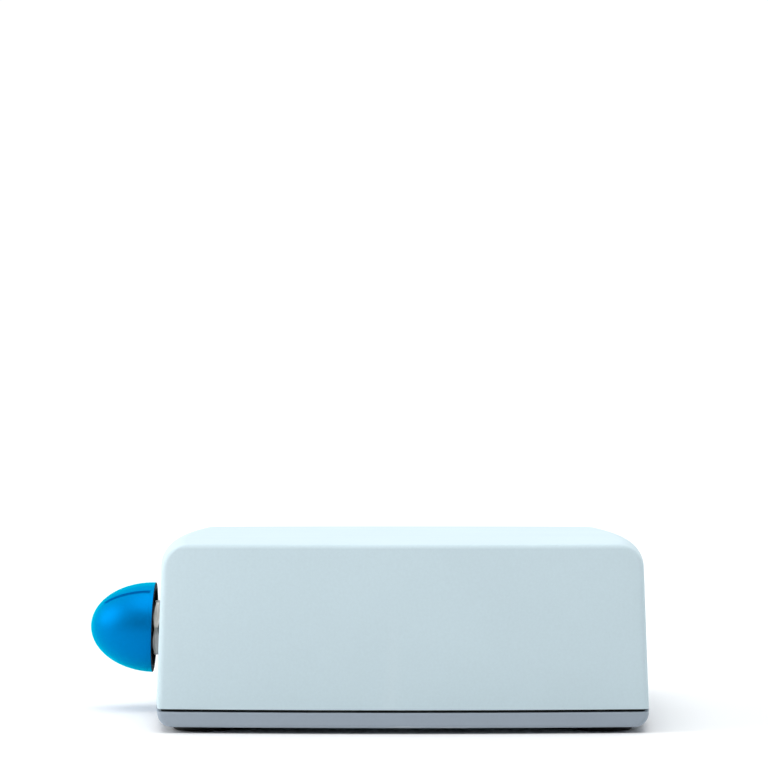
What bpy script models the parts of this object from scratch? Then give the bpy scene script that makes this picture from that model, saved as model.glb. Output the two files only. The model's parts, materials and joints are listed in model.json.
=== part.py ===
"""Compact magnetic stirrer: a moulded cover on a base tray, with a speed knob on the left wall.

Inside, a small motor in a rubber-mounted bracket turns a carrier with two magnets just under the
top. Metres, +Z up, with the feet on Z = 0. The knob is on the -X wall and the supply socket on
the +X wall. Everything is laid out round the rotor's upright axis, and is shifted at the end so
that the origin lies under the middle of the overall length.
"""

import math

import bmesh
import bpy
from mathutils import Matrix, Vector

# ---------------------------------------------------------------- driving dimensions

GAP = 0.0003  # clearance between neighbouring solids

# Housing
HALF_SIDE = 0.0638  # half the housing, across the middles of opposite sides
BOW_RADIUS = 0.590  # each wall bows outward on this radius
CORNER = 0.0014  # length of the rounding at the upright corners
DRAFT = math.radians(2.0)
BASE_BOTTOM = 0.0015
BASE_TOP = 0.00525
COVER_BOTTOM = 0.00595
COVER_TOP = 0.0466
ROLL_RADIUS = 0.0063  # left and right edges of the top
EDGE_FILLET = 0.0014  # front and rear edges of the top
BASE_ROLL = 0.0033  # left and right edges of the underside
BASE_FILLET = 0.0006  # front and rear edges of the underside
WALL = 0.0025
TOP_THICKNESS = 0.0026
FLOOR_TOP = 0.0035
LIP_TOP = 0.0080
LIP_WIDTH = 0.0016
SEAL_SETBACK = 0.0009  # how far the seal lies behind the outer surface
SEAL_SLACK = 0.0001  # space above and below the seal

# Feet and the screws through them
CORNER_POST = 0.050  # X and Y of each corner screw
FOOT_RADIUS = 0.0075
FOOT_HEIGHT = 0.0033
SCREW_HOLE = 0.00165
RIB_REACH = 0.0595  # X where the cover posts' ribs end, inside the side walls

# Speed control, along an axis square to the drafted left wall
CONTROL_HEIGHT = 0.0219
KNOB_LENGTH = 0.0170
KNOB_RADIUS = 0.01195
KNOB_BACK = 0.0030  # knob's rear plane, out from the wall
KNOB_WALL = 0.0017
KNOB_RINGS = 11
KNOB_RIM = 0.00015  # chamfer at the knob's rear edge
KNOB_HUB_RADIUS = 0.0068
KNOB_HUB_END = 0.0036
KNOB_BORE_END = 0.0172
POINTER_ANGLE = math.radians(35.0)  # from straight up, towards -Y
POINTER_SPAN = (math.radians(38.0), math.radians(86.5))  # along the half-egg, from its tip
POINTER_WIDTH = 0.0009
POINTER_DEPTH = 0.00045
NUT_ACROSS_FLATS = 0.0140
NUT_BACK = 0.0007  # the nut's two faces, out from the wall
NUT_FACE = 0.0027
WASHER_RADIUS = 0.0074
WASHER_BACK = 0.0001
WASHER_FACE = 0.0006
BUSHING_RADIUS = 0.00465
BUSHING_BORE = 0.0031
BUSHING_END = 0.0031
POT_SHAFT_RADIUS = 0.0030
POT_SHAFT_END = 0.0168
POT_SHAFT_FLAT = 0.0015  # from the axis to the flat
FLAT_START = 0.0033
POT_RADIUS = 0.0082
POT_FACE = -0.0042  # front of the potentiometer's body, behind the wall's outer face
WAFER_FACE = -0.0045
WAFER_BACK = -0.0061
CAN_FACE = -0.0064
CAN_BACK = -0.0130

# Motor, on the upright axis X = Y = 0
MOTOR_RADIUS = 0.0138
MOTOR_BOTTOM = 0.0097
MOTOR_TOP = 0.0277
CAN_WALL = 0.0008
SHAFT_RADIUS = 0.0015
BUSH_RADIUS = 0.0030
BUSH_BORE = 0.00158
BRACKET_TOP = 0.0296
BRACKET_FOOT = 0.0092
BRACKET_SHEET = 0.0016
BRACKET_DEPTH = 0.0300
BRACKET_POST = (0.031, 0.010)  # X and Y of each rubber mount
MOTOR_SCREW_X = 0.0085

# Rotor
CARRIER_RADIUS = 0.0220
CARRIER_TOP = 0.0424
CARRIER_BOTTOM = 0.0358
HUB_RADIUS = 0.0060
HUB_BOTTOM = 0.0302
MAGNET_RADIUS = 0.0070
MAGNET_ORBIT = 0.0135
GRUB_HEIGHT = 0.0322

# Electronics
BOARD_LOW = (-0.034, 0.0215, 0.0081)
BOARD_HIGH = (0.034, 0.0505, 0.0097)
BOARD_POSTS = ((-0.030, 0.0255), (0.030, 0.0255), (-0.030, 0.0465), (0.030, 0.0465))
HEADER_FRONT = 0.0223
JACK_HEIGHT = 0.0200
JACK_RADIUS = 0.0049
JACK_BORE = 0.0031
FLANGE_FACE = 0.0014  # the socket's outer face, out from the wall
FLANGE_FACE_RADIUS = 0.0057
WIRE_RADIUS = 0.0006
CABLE_RADIUS = 0.0013

SIDE_STEPS = 4  # facets on half a bowed wall
CORNER_STEPS = 2


# ---------------------------------------------------------------- scene and materials

def clear_scene():
    for obj in list(bpy.data.objects):
        bpy.data.objects.remove(obj, do_unlink=True)
    for collection in list(bpy.data.collections):
        bpy.data.collections.remove(collection)


def new_collection(name):
    collection = bpy.data.collections.new(name)
    bpy.context.scene.collection.children.link(collection)
    return collection


clear_scene()
PARTS = new_collection("magnetic_stirrer")
CUTTERS = new_collection("cutters")

# colour, roughness, metallic
FINISHES = {
    "cover_plastic": ((0.56, 0.67, 0.72), 0.45, 0.0),
    "base_plastic": ((0.27, 0.31, 0.36), 0.50, 0.0),
    "black_rubber": ((0.02, 0.02, 0.02), 0.80, 0.0),
    "knob_plastic": ((0.00, 0.26, 0.60), 0.35, 0.0),
    "nickel": ((0.66, 0.64, 0.60), 0.28, 1.0),
    "steel": ((0.55, 0.56, 0.58), 0.35, 1.0),
    "zinc_sheet": ((0.60, 0.61, 0.60), 0.40, 1.0),
    "bronze": ((0.55, 0.36, 0.18), 0.45, 1.0),
    "ferrite": ((0.05, 0.05, 0.055), 0.65, 0.0),
    "neodymium": ((0.70, 0.70, 0.70), 0.22, 1.0),
    "nylon": ((0.80, 0.79, 0.74), 0.50, 0.0),
    "black_plastic": ((0.03, 0.03, 0.035), 0.45, 0.0),
    "phenolic": ((0.28, 0.14, 0.06), 0.55, 0.0),
    "board_green": ((0.02, 0.20, 0.10), 0.40, 0.0),
    "copper": ((0.72, 0.38, 0.24), 0.35, 1.0),
    "red_wire": ((0.55, 0.02, 0.02), 0.45, 0.0),
    "black_wire": ((0.02, 0.02, 0.02), 0.45, 0.0),
    "grey_cable": ((0.30, 0.30, 0.32), 0.50, 0.0),
}


def own_material(name, finish):
    """A Principled material for one part, made from a finish in the table."""
    colour, roughness, metallic = FINISHES[finish]
    material = bpy.data.materials.new(name)
    material.use_nodes = True
    shader = material.node_tree.nodes["Principled BSDF"]
    shader.inputs["Base Color"].default_value = (*colour, 1.0)
    shader.inputs["Roughness"].default_value = roughness
    shader.inputs["Metallic"].default_value = metallic
    material.diffuse_color = (*colour, 1.0)
    return material


def add_object(name, data, finish=None):
    """A part with its own material, or a hidden helper shape when there is no finish."""
    obj = bpy.data.objects.new(name, data)
    if finish:
        data.materials.append(own_material(name, finish))
        PARTS.objects.link(obj)
    else:
        obj.hide_render = True
        obj.display_type = "WIRE"
        CUTTERS.objects.link(obj)
    return obj


def add_mesh(name, bm, finish=None):
    bmesh.ops.recalc_face_normals(bm, faces=bm.faces)
    mesh = bpy.data.meshes.new(name)
    bm.to_mesh(mesh)
    bm.free()
    mesh.shade_smooth()
    mesh.set_sharp_from_angle(angle=math.radians(35))
    return add_object(name, mesh, finish)


# ---------------------------------------------------------------- basic shapes

def loft(name, rings, finish=None):
    """A closed solid through rings that have the same number of points."""
    bm = bmesh.new()
    loops = [[bm.verts.new(point) for point in ring] for ring in rings]
    count = len(loops[0])
    for lower, upper in zip(loops, loops[1:]):
        for i in range(count):
            j = (i + 1) % count
            bm.faces.new((lower[i], lower[j], upper[j], upper[i]))
    bm.faces.new(loops[0])
    bm.faces.new(loops[-1])
    return add_mesh(name, bm, finish)


def prism(name, outline, low, high, finish=None):
    """A flat outline, as X and Y pairs, raised from one height to another."""
    return loft(name, [[(x, y, z) for x, y in outline] for z in (low, high)], finish)


def box(name, low, high, finish=None):
    low, high = Vector(low), Vector(high)
    bm = bmesh.new()
    bmesh.ops.create_cube(bm, size=1.0)
    bmesh.ops.scale(bm, vec=high - low, verts=bm.verts)
    bmesh.ops.translate(bm, vec=(low + high) / 2, verts=bm.verts)
    return add_mesh(name, bm, finish)


def cylinder(name, radius, low, high, centre=(0.0, 0.0), steps=20, finish=None):
    bm = bmesh.new()
    bmesh.ops.create_cone(
        bm, cap_ends=True, segments=steps, radius1=radius, radius2=radius, depth=high - low
    )
    bmesh.ops.translate(bm, vec=(*centre, (low + high) / 2), verts=bm.verts)
    return add_mesh(name, bm, finish)


def turned(name, profile, steps=24, finish=None, ring=False):
    """Radius and height pairs, down the outer side first, turned about the local Z axis."""
    mesh = bpy.data.meshes.new(name)
    edges = [(i, i + 1) for i in range(len(profile) - 1)]
    if ring:
        edges.append((len(profile) - 1, 0))
    mesh.from_pydata([(radius, 0.0, z) for radius, z in profile], edges, [])
    obj = add_object(name, mesh, finish)
    screw = obj.modifiers.new("turn", "SCREW")
    screw.steps = steps
    screw.render_steps = steps
    screw.use_merge_vertices = True
    screw.merge_threshold = 0.00001
    return obj


def tube(name, points, radius, finish):
    """A wire through hand-placed points, as a smooth curve resampled to a polyline."""
    curve = bpy.data.curves.new(name, "CURVE")
    curve.dimensions = "3D"
    curve.bevel_depth = radius
    curve.bevel_resolution = 2
    curve.use_fill_caps = True
    path = smooth_path([Vector(point) for point in points])
    spline = curve.splines.new("POLY")
    spline.points.add(len(path) - 1)
    for target, point in zip(spline.points, path):
        target.co = (*point, 1.0)
    return add_object(name, curve, finish)


def smooth_path(points, steps=2):
    """Catmull-Rom points along a route that keeps its ends."""
    padded = [2 * points[0] - points[1], *points, 2 * points[-1] - points[-2]]
    path = []
    for a, b, c, d in zip(padded, padded[1:], padded[2:], padded[3:]):
        slope = c - a
        bend = 2 * a - 5 * b + 4 * c - d
        twist = 3 * b - 3 * c + d - a
        for i in range(steps):
            t = i / steps
            path.append(b + 0.5 * (slope * t + bend * t**2 + twist * t**3))
    return [*path, points[-1]]


def boolean(target, tool, operation):
    modifier = target.modifiers.new(tool.name, "BOOLEAN")
    modifier.operation = operation
    modifier.object = tool
    modifier.solver = "EXACT"
    return target


def cut(target, *tools):
    for tool in tools:
        boolean(target, tool, "DIFFERENCE")


def join(target, *tools):
    for tool in tools:
        boolean(target, tool, "UNION")


def hex_nut(name, across, bore, low, high, finish):
    """A chamfered hexagon nut, with a corner towards local -Y."""
    corner = across / math.sqrt(3)
    turns = [math.radians(60 * i - 90) for i in range(6)]
    hexagon = [(corner * math.cos(t), corner * math.sin(t)) for t in turns]
    nut = prism(name, hexagon, low, high, finish)
    flat = across / 2 - 0.0002
    chamfer = 0.0005
    profile = [
        (0.0, high + 0.0001),
        (flat, high + 0.0001),
        (corner, high - chamfer),
        (corner, low + chamfer),
        (flat, low - 0.0001),
        (0.0, low - 0.0001),
    ]
    boolean(nut, turned(f"{name}_chamfers", profile, steps=24), "INTERSECT")
    cut(nut, cylinder(f"{name}_bore", bore, low - 0.001, high + 0.001, steps=18))
    return nut


def corners(x, y=None):
    """The four places at plus and minus x and y, with a name for each."""
    y = x if y is None else y
    return (
        ("front_left", (-x, -y)),
        ("front_right", (x, -y)),
        ("rear_left", (-x, y)),
        ("rear_right", (x, y)),
    )


def axis_empty(name, origin, direction):
    """An empty on a joint's or a fitting's axis, with its local Z along that axis."""
    empty = bpy.data.objects.new(name, None)
    empty.empty_display_size = 0.01
    PARTS.objects.link(empty)
    turn = Vector((0.0, 0.0, 1.0)).rotation_difference(Vector(direction))
    empty.matrix_world = Matrix.Translation(origin) @ turn.to_matrix().to_4x4()
    return empty


def hang_on(empty, *objects):
    """Parents objects to an empty, with the helper shapes that cut or join them."""
    for obj in objects:
        obj.parent = empty
        for modifier in obj.modifiers:
            if modifier.type == "BOOLEAN" and modifier.object.parent is None:
                hang_on(empty, modifier.object)


def pan_screw(name, place, head, shank, bearing, head_height, tip, finish, down=True):
    """A cross-head screw. Its head stands on the bearing height, and its shank runs to the tip."""
    sign = 1.0 if down else -1.0
    crown = bearing + sign * head_height
    shoulder = bearing + sign * 0.7 * head_height
    profile = [
        (0.0, crown),
        (0.62 * head, crown),
        (head, shoulder),
        (head, bearing),
        (shank, bearing),
        (shank, tip + sign * shank),
        (0.0, tip),
    ]
    if not down:
        profile.reverse()
    screw = turned(name, profile, steps=12, finish=finish)
    arm, half = 0.55 * head, 0.16 * head
    depth = 0.5 * head_height
    for i, (x, y) in enumerate(((arm, half), (half, arm))):
        low, high = sorted((crown - sign * depth, crown + sign * depth))
        slot = box(f"{name}_slot_{i}", (-x, -y, low), (x, y, high))
        slot.location = (*place, 0.0)
        cut(screw, slot)
    screw.location = (*place, 0.0)
    return screw


# ---------------------------------------------------------------- housing outlines

def bow_drop(distance):
    """How far a bowed wall falls back at this distance from its middle."""
    return BOW_RADIUS - math.sqrt(BOW_RADIUS**2 - distance**2)


def bowed_outline(half_x, half_y, corner=CORNER):
    """Anticlockwise points of a rectangle with bowed sides and rounded corners."""
    end_x, end_y = half_x, half_y
    for _ in range(12):
        end_x = half_x - bow_drop(end_y)
        end_y = half_y - bow_drop(end_x)
    start = Vector((half_x - bow_drop(end_y - corner), end_y - corner))
    finish = Vector((end_x - corner, half_y - bow_drop(end_x - corner)))
    peak = Vector((end_x, end_y))
    quarter = []
    for i in range(SIDE_STEPS):
        y = start.y * i / SIDE_STEPS
        quarter.append(Vector((half_x - bow_drop(y), y)))
    for i in range(CORNER_STEPS + 1):
        t = i / CORNER_STEPS
        quarter.append((1 - t) ** 2 * start + 2 * t * (1 - t) * peak + t**2 * finish)
    for i in reversed(range(SIDE_STEPS)):
        x = finish.x * i / SIDE_STEPS
        quarter.append(Vector((x, half_y - bow_drop(x))))
    upper_left = [Vector((-p.x, p.y)) for p in reversed(quarter[:-1])]
    lower_left = [Vector((-p.x, -p.y)) for p in quarter[1:]]
    lower_right = [Vector((p.x, -p.y)) for p in reversed(quarter[1:-1])]
    return [(p.x, p.y) for p in (*quarter, *upper_left, *lower_left, *lower_right)]


def section(half_x, half_y, z, corner=CORNER):
    return [(x, y, z) for x, y in bowed_outline(half_x, half_y, corner)]


def wall_half(z, inset=0.0):
    """Half the cover across its drafted walls at a height."""
    return HALF_SIDE - inset - (z - COVER_BOTTOM) * math.tan(DRAFT)


def cover_form(name, bottom, top, inset, roll, fillet, corner, finish=None):
    """The cover's outer form, or its hollow when inset: drafted walls that roll into a flat top."""
    rings = [section(wall_half(bottom, inset), wall_half(bottom, inset), bottom, corner)]
    centre_z = top - roll
    tangent_z = centre_z + roll * math.sin(DRAFT)
    centre_x = wall_half(tangent_z, inset) - roll * math.cos(DRAFT)
    fillet_start = math.asin((roll - fillet) / roll)
    turns = [DRAFT + (fillet_start - DRAFT) * i / 3 for i in range(3)]
    turns += [fillet_start + (math.pi / 2 - fillet_start) * i / 4 for i in range(5)]
    for turn in turns:
        z = centre_z + roll * math.sin(turn)
        rise = max(0.0, z - (top - fillet))
        drop = fillet - math.sqrt(max(0.0, fillet**2 - rise**2))
        half_y = wall_half(min(z, top - fillet), inset) - drop
        rings.append(section(centre_x + roll * math.cos(turn), half_y, z, corner))
    return loft(name, rings, finish)


# ---------------------------------------------------------------- housing

def build_cover():
    cover = cover_form(
        "top_cover", COVER_BOTTOM, COVER_TOP, 0.0, ROLL_RADIUS, EDGE_FILLET, CORNER, "cover_plastic"
    )
    ceiling = COVER_TOP - TOP_THICKNESS
    hollow = cover_form(
        "cover_hollow", COVER_BOTTOM - 0.002, ceiling, WALL, ROLL_RADIUS - WALL, 0.0010, 2 * CORNER
    )
    cut(cover, hollow)
    for where, (x, y) in corners(CORNER_POST):
        post = cylinder(f"cover_post_{where}", 0.0040, 0.0079, ceiling + 0.001, (x, y), steps=14)
        reach = math.copysign(RIB_REACH, x)
        low = (min(x, reach), y - 0.0008, 0.012)
        high = (max(x, reach), y + 0.0008, 0.038)
        rib = box(f"cover_rib_{where}", low, high)
        join(cover, post, rib)
        bore = cylinder(f"cover_post_bore_{where}", SCREW_HOLE, 0.006, 0.0185, (x, y), steps=10)
        cut(cover, bore)
    return cover


def build_base():
    rings = []
    for i in range(6):
        turn = math.pi / 2 * i / 5
        z = BASE_BOTTOM + BASE_ROLL * (1 - math.cos(turn))
        fall = max(0.0, BASE_FILLET - (z - BASE_BOTTOM))
        drop = BASE_FILLET - math.sqrt(BASE_FILLET**2 - fall**2)
        rings.append(section(HALF_SIDE - BASE_ROLL * (1 - math.sin(turn)), HALF_SIDE - drop, z))
    rings.append(section(HALF_SIDE, HALF_SIDE, BASE_TOP))
    base = loft("base_plate", rings, "base_plastic")

    lip_outer = HALF_SIDE - WALL - GAP
    lip_inner = lip_outer - LIP_WIDTH
    lip = prism("lip", bowed_outline(lip_outer, lip_outer, 2 * CORNER), FLOOR_TOP, LIP_TOP)
    pocket = prism("pocket", bowed_outline(lip_inner, lip_inner, 2 * CORNER), FLOOR_TOP, 0.010)
    join(base, lip)
    cut(base, pocket)

    sunk = FLOOR_TOP - 0.0004
    above = LIP_TOP + 0.0020
    seat_top = FOOT_HEIGHT + GAP
    for where, place in corners(CORNER_POST):
        pad = cylinder(f"foot_pad_{where}", 0.0092, sunk, 0.0052, place, steps=20)
        post = cylinder(f"base_post_{where}", 0.0055, sunk, 0.0076, place, steps=14)
        join(base, pad, post)
        seat = cylinder(f"foot_seat_{where}", FOOT_RADIUS + 2 * GAP, 0.0, seat_top, place, steps=22)
        bore = cylinder(f"base_bore_{where}", SCREW_HOLE, 0.0, above, place, steps=12)
        cut(base, seat, bore)
    for where, place in corners(*BRACKET_POST):
        add_post(base, f"bracket_post_{where}", place, 0.0040, 0.0016, 0.0070)
    for i, place in enumerate(BOARD_POSTS):
        add_post(base, f"board_post_{i}", place, 0.0030, 0.0014, 0.0078)
    return base


def add_post(base, name, place, radius, bore, top):
    """A screw post on the tray's floor, with a blind hole down into the floor's thickness."""
    post = cylinder(name, radius, FLOOR_TOP - 0.0004, top, place, steps=12)
    hole = cylinder(f"{name}_bore", bore, FLOOR_TOP + 0.0007, LIP_TOP + 0.0020, place, steps=10)
    join(base, post)
    cut(base, hole)


def build_seal():
    outer = HALF_SIDE - SEAL_SETBACK
    inner = HALF_SIDE - WALL
    low, high = BASE_TOP + SEAL_SLACK, COVER_BOTTOM - SEAL_SLACK
    seal = prism("seam_gasket", bowed_outline(outer, outer), low, high, "black_rubber")
    opening = prism("seal_opening", bowed_outline(inner, inner, 2 * CORNER), 0.0, COVER_TOP)
    cut(seal, opening)
    return seal


def build_feet():
    web = 0.0022
    for where, place in corners(CORNER_POST):
        profile = [
            (SCREW_HOLE, FOOT_HEIGHT),
            (FOOT_RADIUS, FOOT_HEIGHT),
            (FOOT_RADIUS, 0.0006),
            (FOOT_RADIUS - 0.0006, 0.0),
            (0.0032, 0.0),
            (0.0032, web),
            (SCREW_HOLE, web),
        ]
        foot = turned(f"foot_{where}", profile, steps=20, finish="black_rubber", ring=True)
        foot.location = (*place, 0.0)
        name = f"base_screw_{where}"
        pan_screw(name, place, 0.0028, 0.00135, web - GAP, 0.0014, 0.0150, "steel", down=False)


# ---------------------------------------------------------------- speed control

def knob_profile():
    """Half-egg outside, then up the hollow's side and down the hub to its end."""
    last = math.acos(KNOB_RIM / KNOB_LENGTH)
    outer_turns = [math.pi / 2 * i / KNOB_RINGS for i in range(KNOB_RINGS)] + [last]
    outer = [(KNOB_RADIUS * math.sin(t), KNOB_BACK + KNOB_LENGTH * math.cos(t)) for t in outer_turns]
    length, radius = KNOB_LENGTH - 1.3 * KNOB_WALL, KNOB_RADIUS - KNOB_WALL
    hub_turn = math.asin(KNOB_HUB_RADIUS / radius)
    inner_turns = [math.pi / 2 + (hub_turn - math.pi / 2) * i / 5 for i in range(6)]
    inner = [(radius * math.sin(t), KNOB_BACK + length * math.cos(t)) for t in inner_turns]
    return [
        *outer,
        (KNOB_RADIUS - KNOB_RIM, KNOB_BACK),
        *inner,
        (KNOB_HUB_RADIUS, KNOB_HUB_END),
        (0.0, KNOB_HUB_END),
    ]


def pointer_cutter():
    """A narrow strip that follows the knob's surface, from near the rim to near the tip."""
    rings = []
    first, last = POINTER_SPAN
    for i in range(9):
        turn = first + (last - first) * i / 8
        spine = Vector((0.0, KNOB_RADIUS * math.sin(turn), KNOB_BACK + KNOB_LENGTH * math.cos(turn)))
        outward = Vector((0.0, math.sin(turn) / KNOB_RADIUS, math.cos(turn) / KNOB_LENGTH)).normalized()
        inner, outer = spine - POINTER_DEPTH * outward, spine + 0.0006 * outward
        half = POINTER_WIDTH / 2
        rings.append([
            (-0.6 * half, inner.y, inner.z),
            (0.6 * half, inner.y, inner.z),
            (1.4 * half, outer.y, outer.z),
            (-1.4 * half, outer.y, outer.z),
        ])
    return loft("pointer_groove", rings)


def d_section(name, radius, flat, low, high):
    """A round bar with one flat, for a shaft's grip and the bore that takes it."""
    bar = cylinder(name, radius, low, high, steps=20)
    side = box(f"{name}_flat", (-radius, flat, low - 0.001), (radius, 2 * radius, high + 0.001))
    cut(bar, side)
    return bar


def build_speed_control(cover):
    origin = Vector((-wall_half(CONTROL_HEIGHT), 0.0, CONTROL_HEIGHT))
    outward = Vector((-math.cos(DRAFT), 0.0, math.sin(DRAFT)))
    fixed = axis_empty("speed_control_axis", origin, outward)
    turning = axis_empty("knob_axis", origin, outward)

    wall_bore = cylinder("knob_wall_bore", BUSHING_RADIUS + GAP, -0.006, 0.004, steps=24)
    hang_on(fixed, wall_bore)
    cut(cover, wall_bore)

    chamfer = 0.0003
    bushing_profile = [
        (BUSHING_BORE, BUSHING_END),
        (BUSHING_RADIUS - chamfer, BUSHING_END),
        (BUSHING_RADIUS, BUSHING_END - chamfer),
        (BUSHING_RADIUS, -WALL - GAP),
        (POT_RADIUS, -WALL - GAP),
        (POT_RADIUS, POT_FACE),
        (BUSHING_BORE, POT_FACE),
    ]
    bushing = turned("pot_bushing", bushing_profile, steps=22, finish="nickel", ring=True)

    washer_profile = [
        (BUSHING_RADIUS + GAP, WASHER_FACE),
        (WASHER_RADIUS, WASHER_FACE),
        (WASHER_RADIUS, WASHER_BACK),
        (BUSHING_RADIUS + GAP, WASHER_BACK),
    ]
    washer = turned("pot_washer", washer_profile, steps=20, finish="nickel", ring=True)

    nut = hex_nut("pot_nut", NUT_ACROSS_FLATS, BUSHING_RADIUS + GAP, NUT_BACK, NUT_FACE, "nickel")

    wafer = cylinder("pot_wafer", 0.0080, WAFER_BACK, WAFER_FACE, steps=20, finish="phenolic")
    tongue = box("wafer_tongue", (-0.0045, 0.004, WAFER_BACK), (0.0045, 0.0115, WAFER_FACE))
    join(wafer, tongue)
    lug_pitch = 0.0030
    for i in (-1, 0, 1):
        left = i * lug_pitch - 0.0007
        right = i * lug_pitch + 0.0007
        lug = box(f"wafer_lug_{i}", (left, 0.0105, -0.0056), (right, 0.0150, -0.0050))
        join(wafer, lug)
    wafer_bore = cylinder("wafer_bore", 0.0040, -0.008, -0.003, steps=12)
    cut(wafer, wafer_bore)

    can_inner = 0.0072
    can_profile = [
        (0.0, CAN_BACK + CAN_WALL),
        (can_inner, CAN_BACK + CAN_WALL),
        (can_inner, CAN_FACE),
        (POT_RADIUS, CAN_FACE),
        (POT_RADIUS, CAN_BACK),
        (0.0, CAN_BACK),
    ]
    can = turned("pot_can", can_profile, steps=22, finish="zinc_sheet")
    hang_on(fixed, bushing, washer, nut, wafer, can)

    knob = turned("speed_knob", knob_profile(), steps=32, finish="knob_plastic")
    slack = 0.00015
    bore = d_section("knob_bore", POT_SHAFT_RADIUS + slack, POT_SHAFT_FLAT + slack, 0.002, KNOB_BORE_END)
    groove = pointer_cutter()
    # Local +X points up and local +Y is world +Y; the cutter is made along local +Y.
    groove.rotation_euler.z = -(math.pi / 2 + POINTER_ANGLE)
    cut(knob, bore, groove)

    wiper_radius, wiper_face, wiper_back = 0.0055, -0.0078, -0.0090
    shaft_profile = [
        (0.0, POT_SHAFT_END),
        (POT_SHAFT_RADIUS - chamfer, POT_SHAFT_END),
        (POT_SHAFT_RADIUS, POT_SHAFT_END - chamfer),
        (POT_SHAFT_RADIUS, wiper_face),
        (wiper_radius, wiper_face),
        (wiper_radius, wiper_back),
        (0.0, wiper_back),
    ]
    shaft = turned("pot_shaft", shaft_profile, steps=20, finish="steel")
    flat = box("shaft_flat", (-0.004, POT_SHAFT_FLAT, FLAT_START), (0.004, 0.006, 0.020))
    cut(shaft, flat)
    hang_on(turning, knob, shaft)


# ---------------------------------------------------------------- motor

def build_motor():
    axis_empty("rotor_axis", (0.0, 0.0, 0.0), (0.0, 0.0, 1.0))
    inner = MOTOR_RADIUS - CAN_WALL
    ceiling = MOTOR_TOP - CAN_WALL
    boss_radius, boss_top = 0.0040, 0.0294
    can_profile = [
        (BUSH_RADIUS + GAP, boss_top),
        (boss_radius, boss_top),
        (boss_radius, MOTOR_TOP),
        (MOTOR_RADIUS - 0.0010, MOTOR_TOP),
        (MOTOR_RADIUS, MOTOR_TOP - 0.0010),
        (MOTOR_RADIUS, MOTOR_BOTTOM),
        (inner, MOTOR_BOTTOM),
        (inner, ceiling),
        (BUSH_RADIUS + GAP, ceiling),
    ]
    can = turned("motor_can", can_profile, steps=24, finish="zinc_sheet", ring=True)
    for side in (-1, 1):
        place = (side * MOTOR_SCREW_X, 0.0)
        cut(can, cylinder(f"can_hole_{side}", 0.0014, 0.0255, 0.029, place, steps=12))

    bell_profile = [
        (BUSH_RADIUS + GAP, 0.0108),
        (inner - GAP, 0.0108),
        (inner - GAP, MOTOR_BOTTOM - GAP),
        (MOTOR_RADIUS, MOTOR_BOTTOM - GAP),
        (MOTOR_RADIUS, 0.0080),
        (MOTOR_RADIUS - 0.0005, 0.0075),
        (BUSH_RADIUS + GAP, 0.0075),
    ]
    turned("motor_end_bell", bell_profile, steps=24, finish="black_plastic", ring=True)

    for name, low, high in (("front_bush", 0.0264, 0.0292), ("rear_bush", 0.0078, 0.0106)):
        profile = [(BUSH_BORE, high), (BUSH_RADIUS, high), (BUSH_RADIUS, low), (BUSH_BORE, low)]
        turned(name, profile, steps=16, finish="bronze", ring=True)

    for name, facing in (("stator_magnet_north", 0.0), ("stator_magnet_south", math.pi)):
        outer, bore = inner - GAP, 0.0101
        turns = [facing + math.radians(-65 + 130 * i / 8) for i in range(9)]
        outline = [(outer * math.cos(t), outer * math.sin(t)) for t in turns]
        outline += [(bore * math.cos(t), bore * math.sin(t)) for t in reversed(turns)]
        prism(name, outline, 0.0120, 0.0240, "ferrite")

    armature = cylinder("armature", 0.0096, 0.0136, 0.0230, steps=27, finish="steel")
    for i in range(3):
        turn = math.radians(120 * i + 30)
        slot = box(f"armature_slot_{i}", (0.0040, -0.0016, 0.012), (0.0110, 0.0016, 0.025))
        slot.rotation_euler.z = turn
        cut(armature, slot)
    bore_armature = cylinder("armature_bore", SHAFT_RADIUS + GAP, 0.012, 0.025, steps=16)
    cut(armature, bore_armature)

    commutator_profile = [
        (SHAFT_RADIUS + GAP, 0.0132),
        (0.0036, 0.0132),
        (0.0036, 0.0126),
        (0.0032, 0.0126),
        (0.0032, 0.0112),
        (SHAFT_RADIUS + GAP, 0.0112),
    ]
    turned("commutator", commutator_profile, steps=12, finish="copper", ring=True)

    shaft_profile = [
        (0.0, 0.0410),
        (SHAFT_RADIUS - 0.0003, 0.0410),
        (SHAFT_RADIUS, 0.0407),
        (SHAFT_RADIUS, 0.0073),
        (SHAFT_RADIUS - 0.0003, 0.0070),
        (0.0, 0.0070),
    ]
    turned("motor_shaft", shaft_profile, steps=16, finish="steel")


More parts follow.
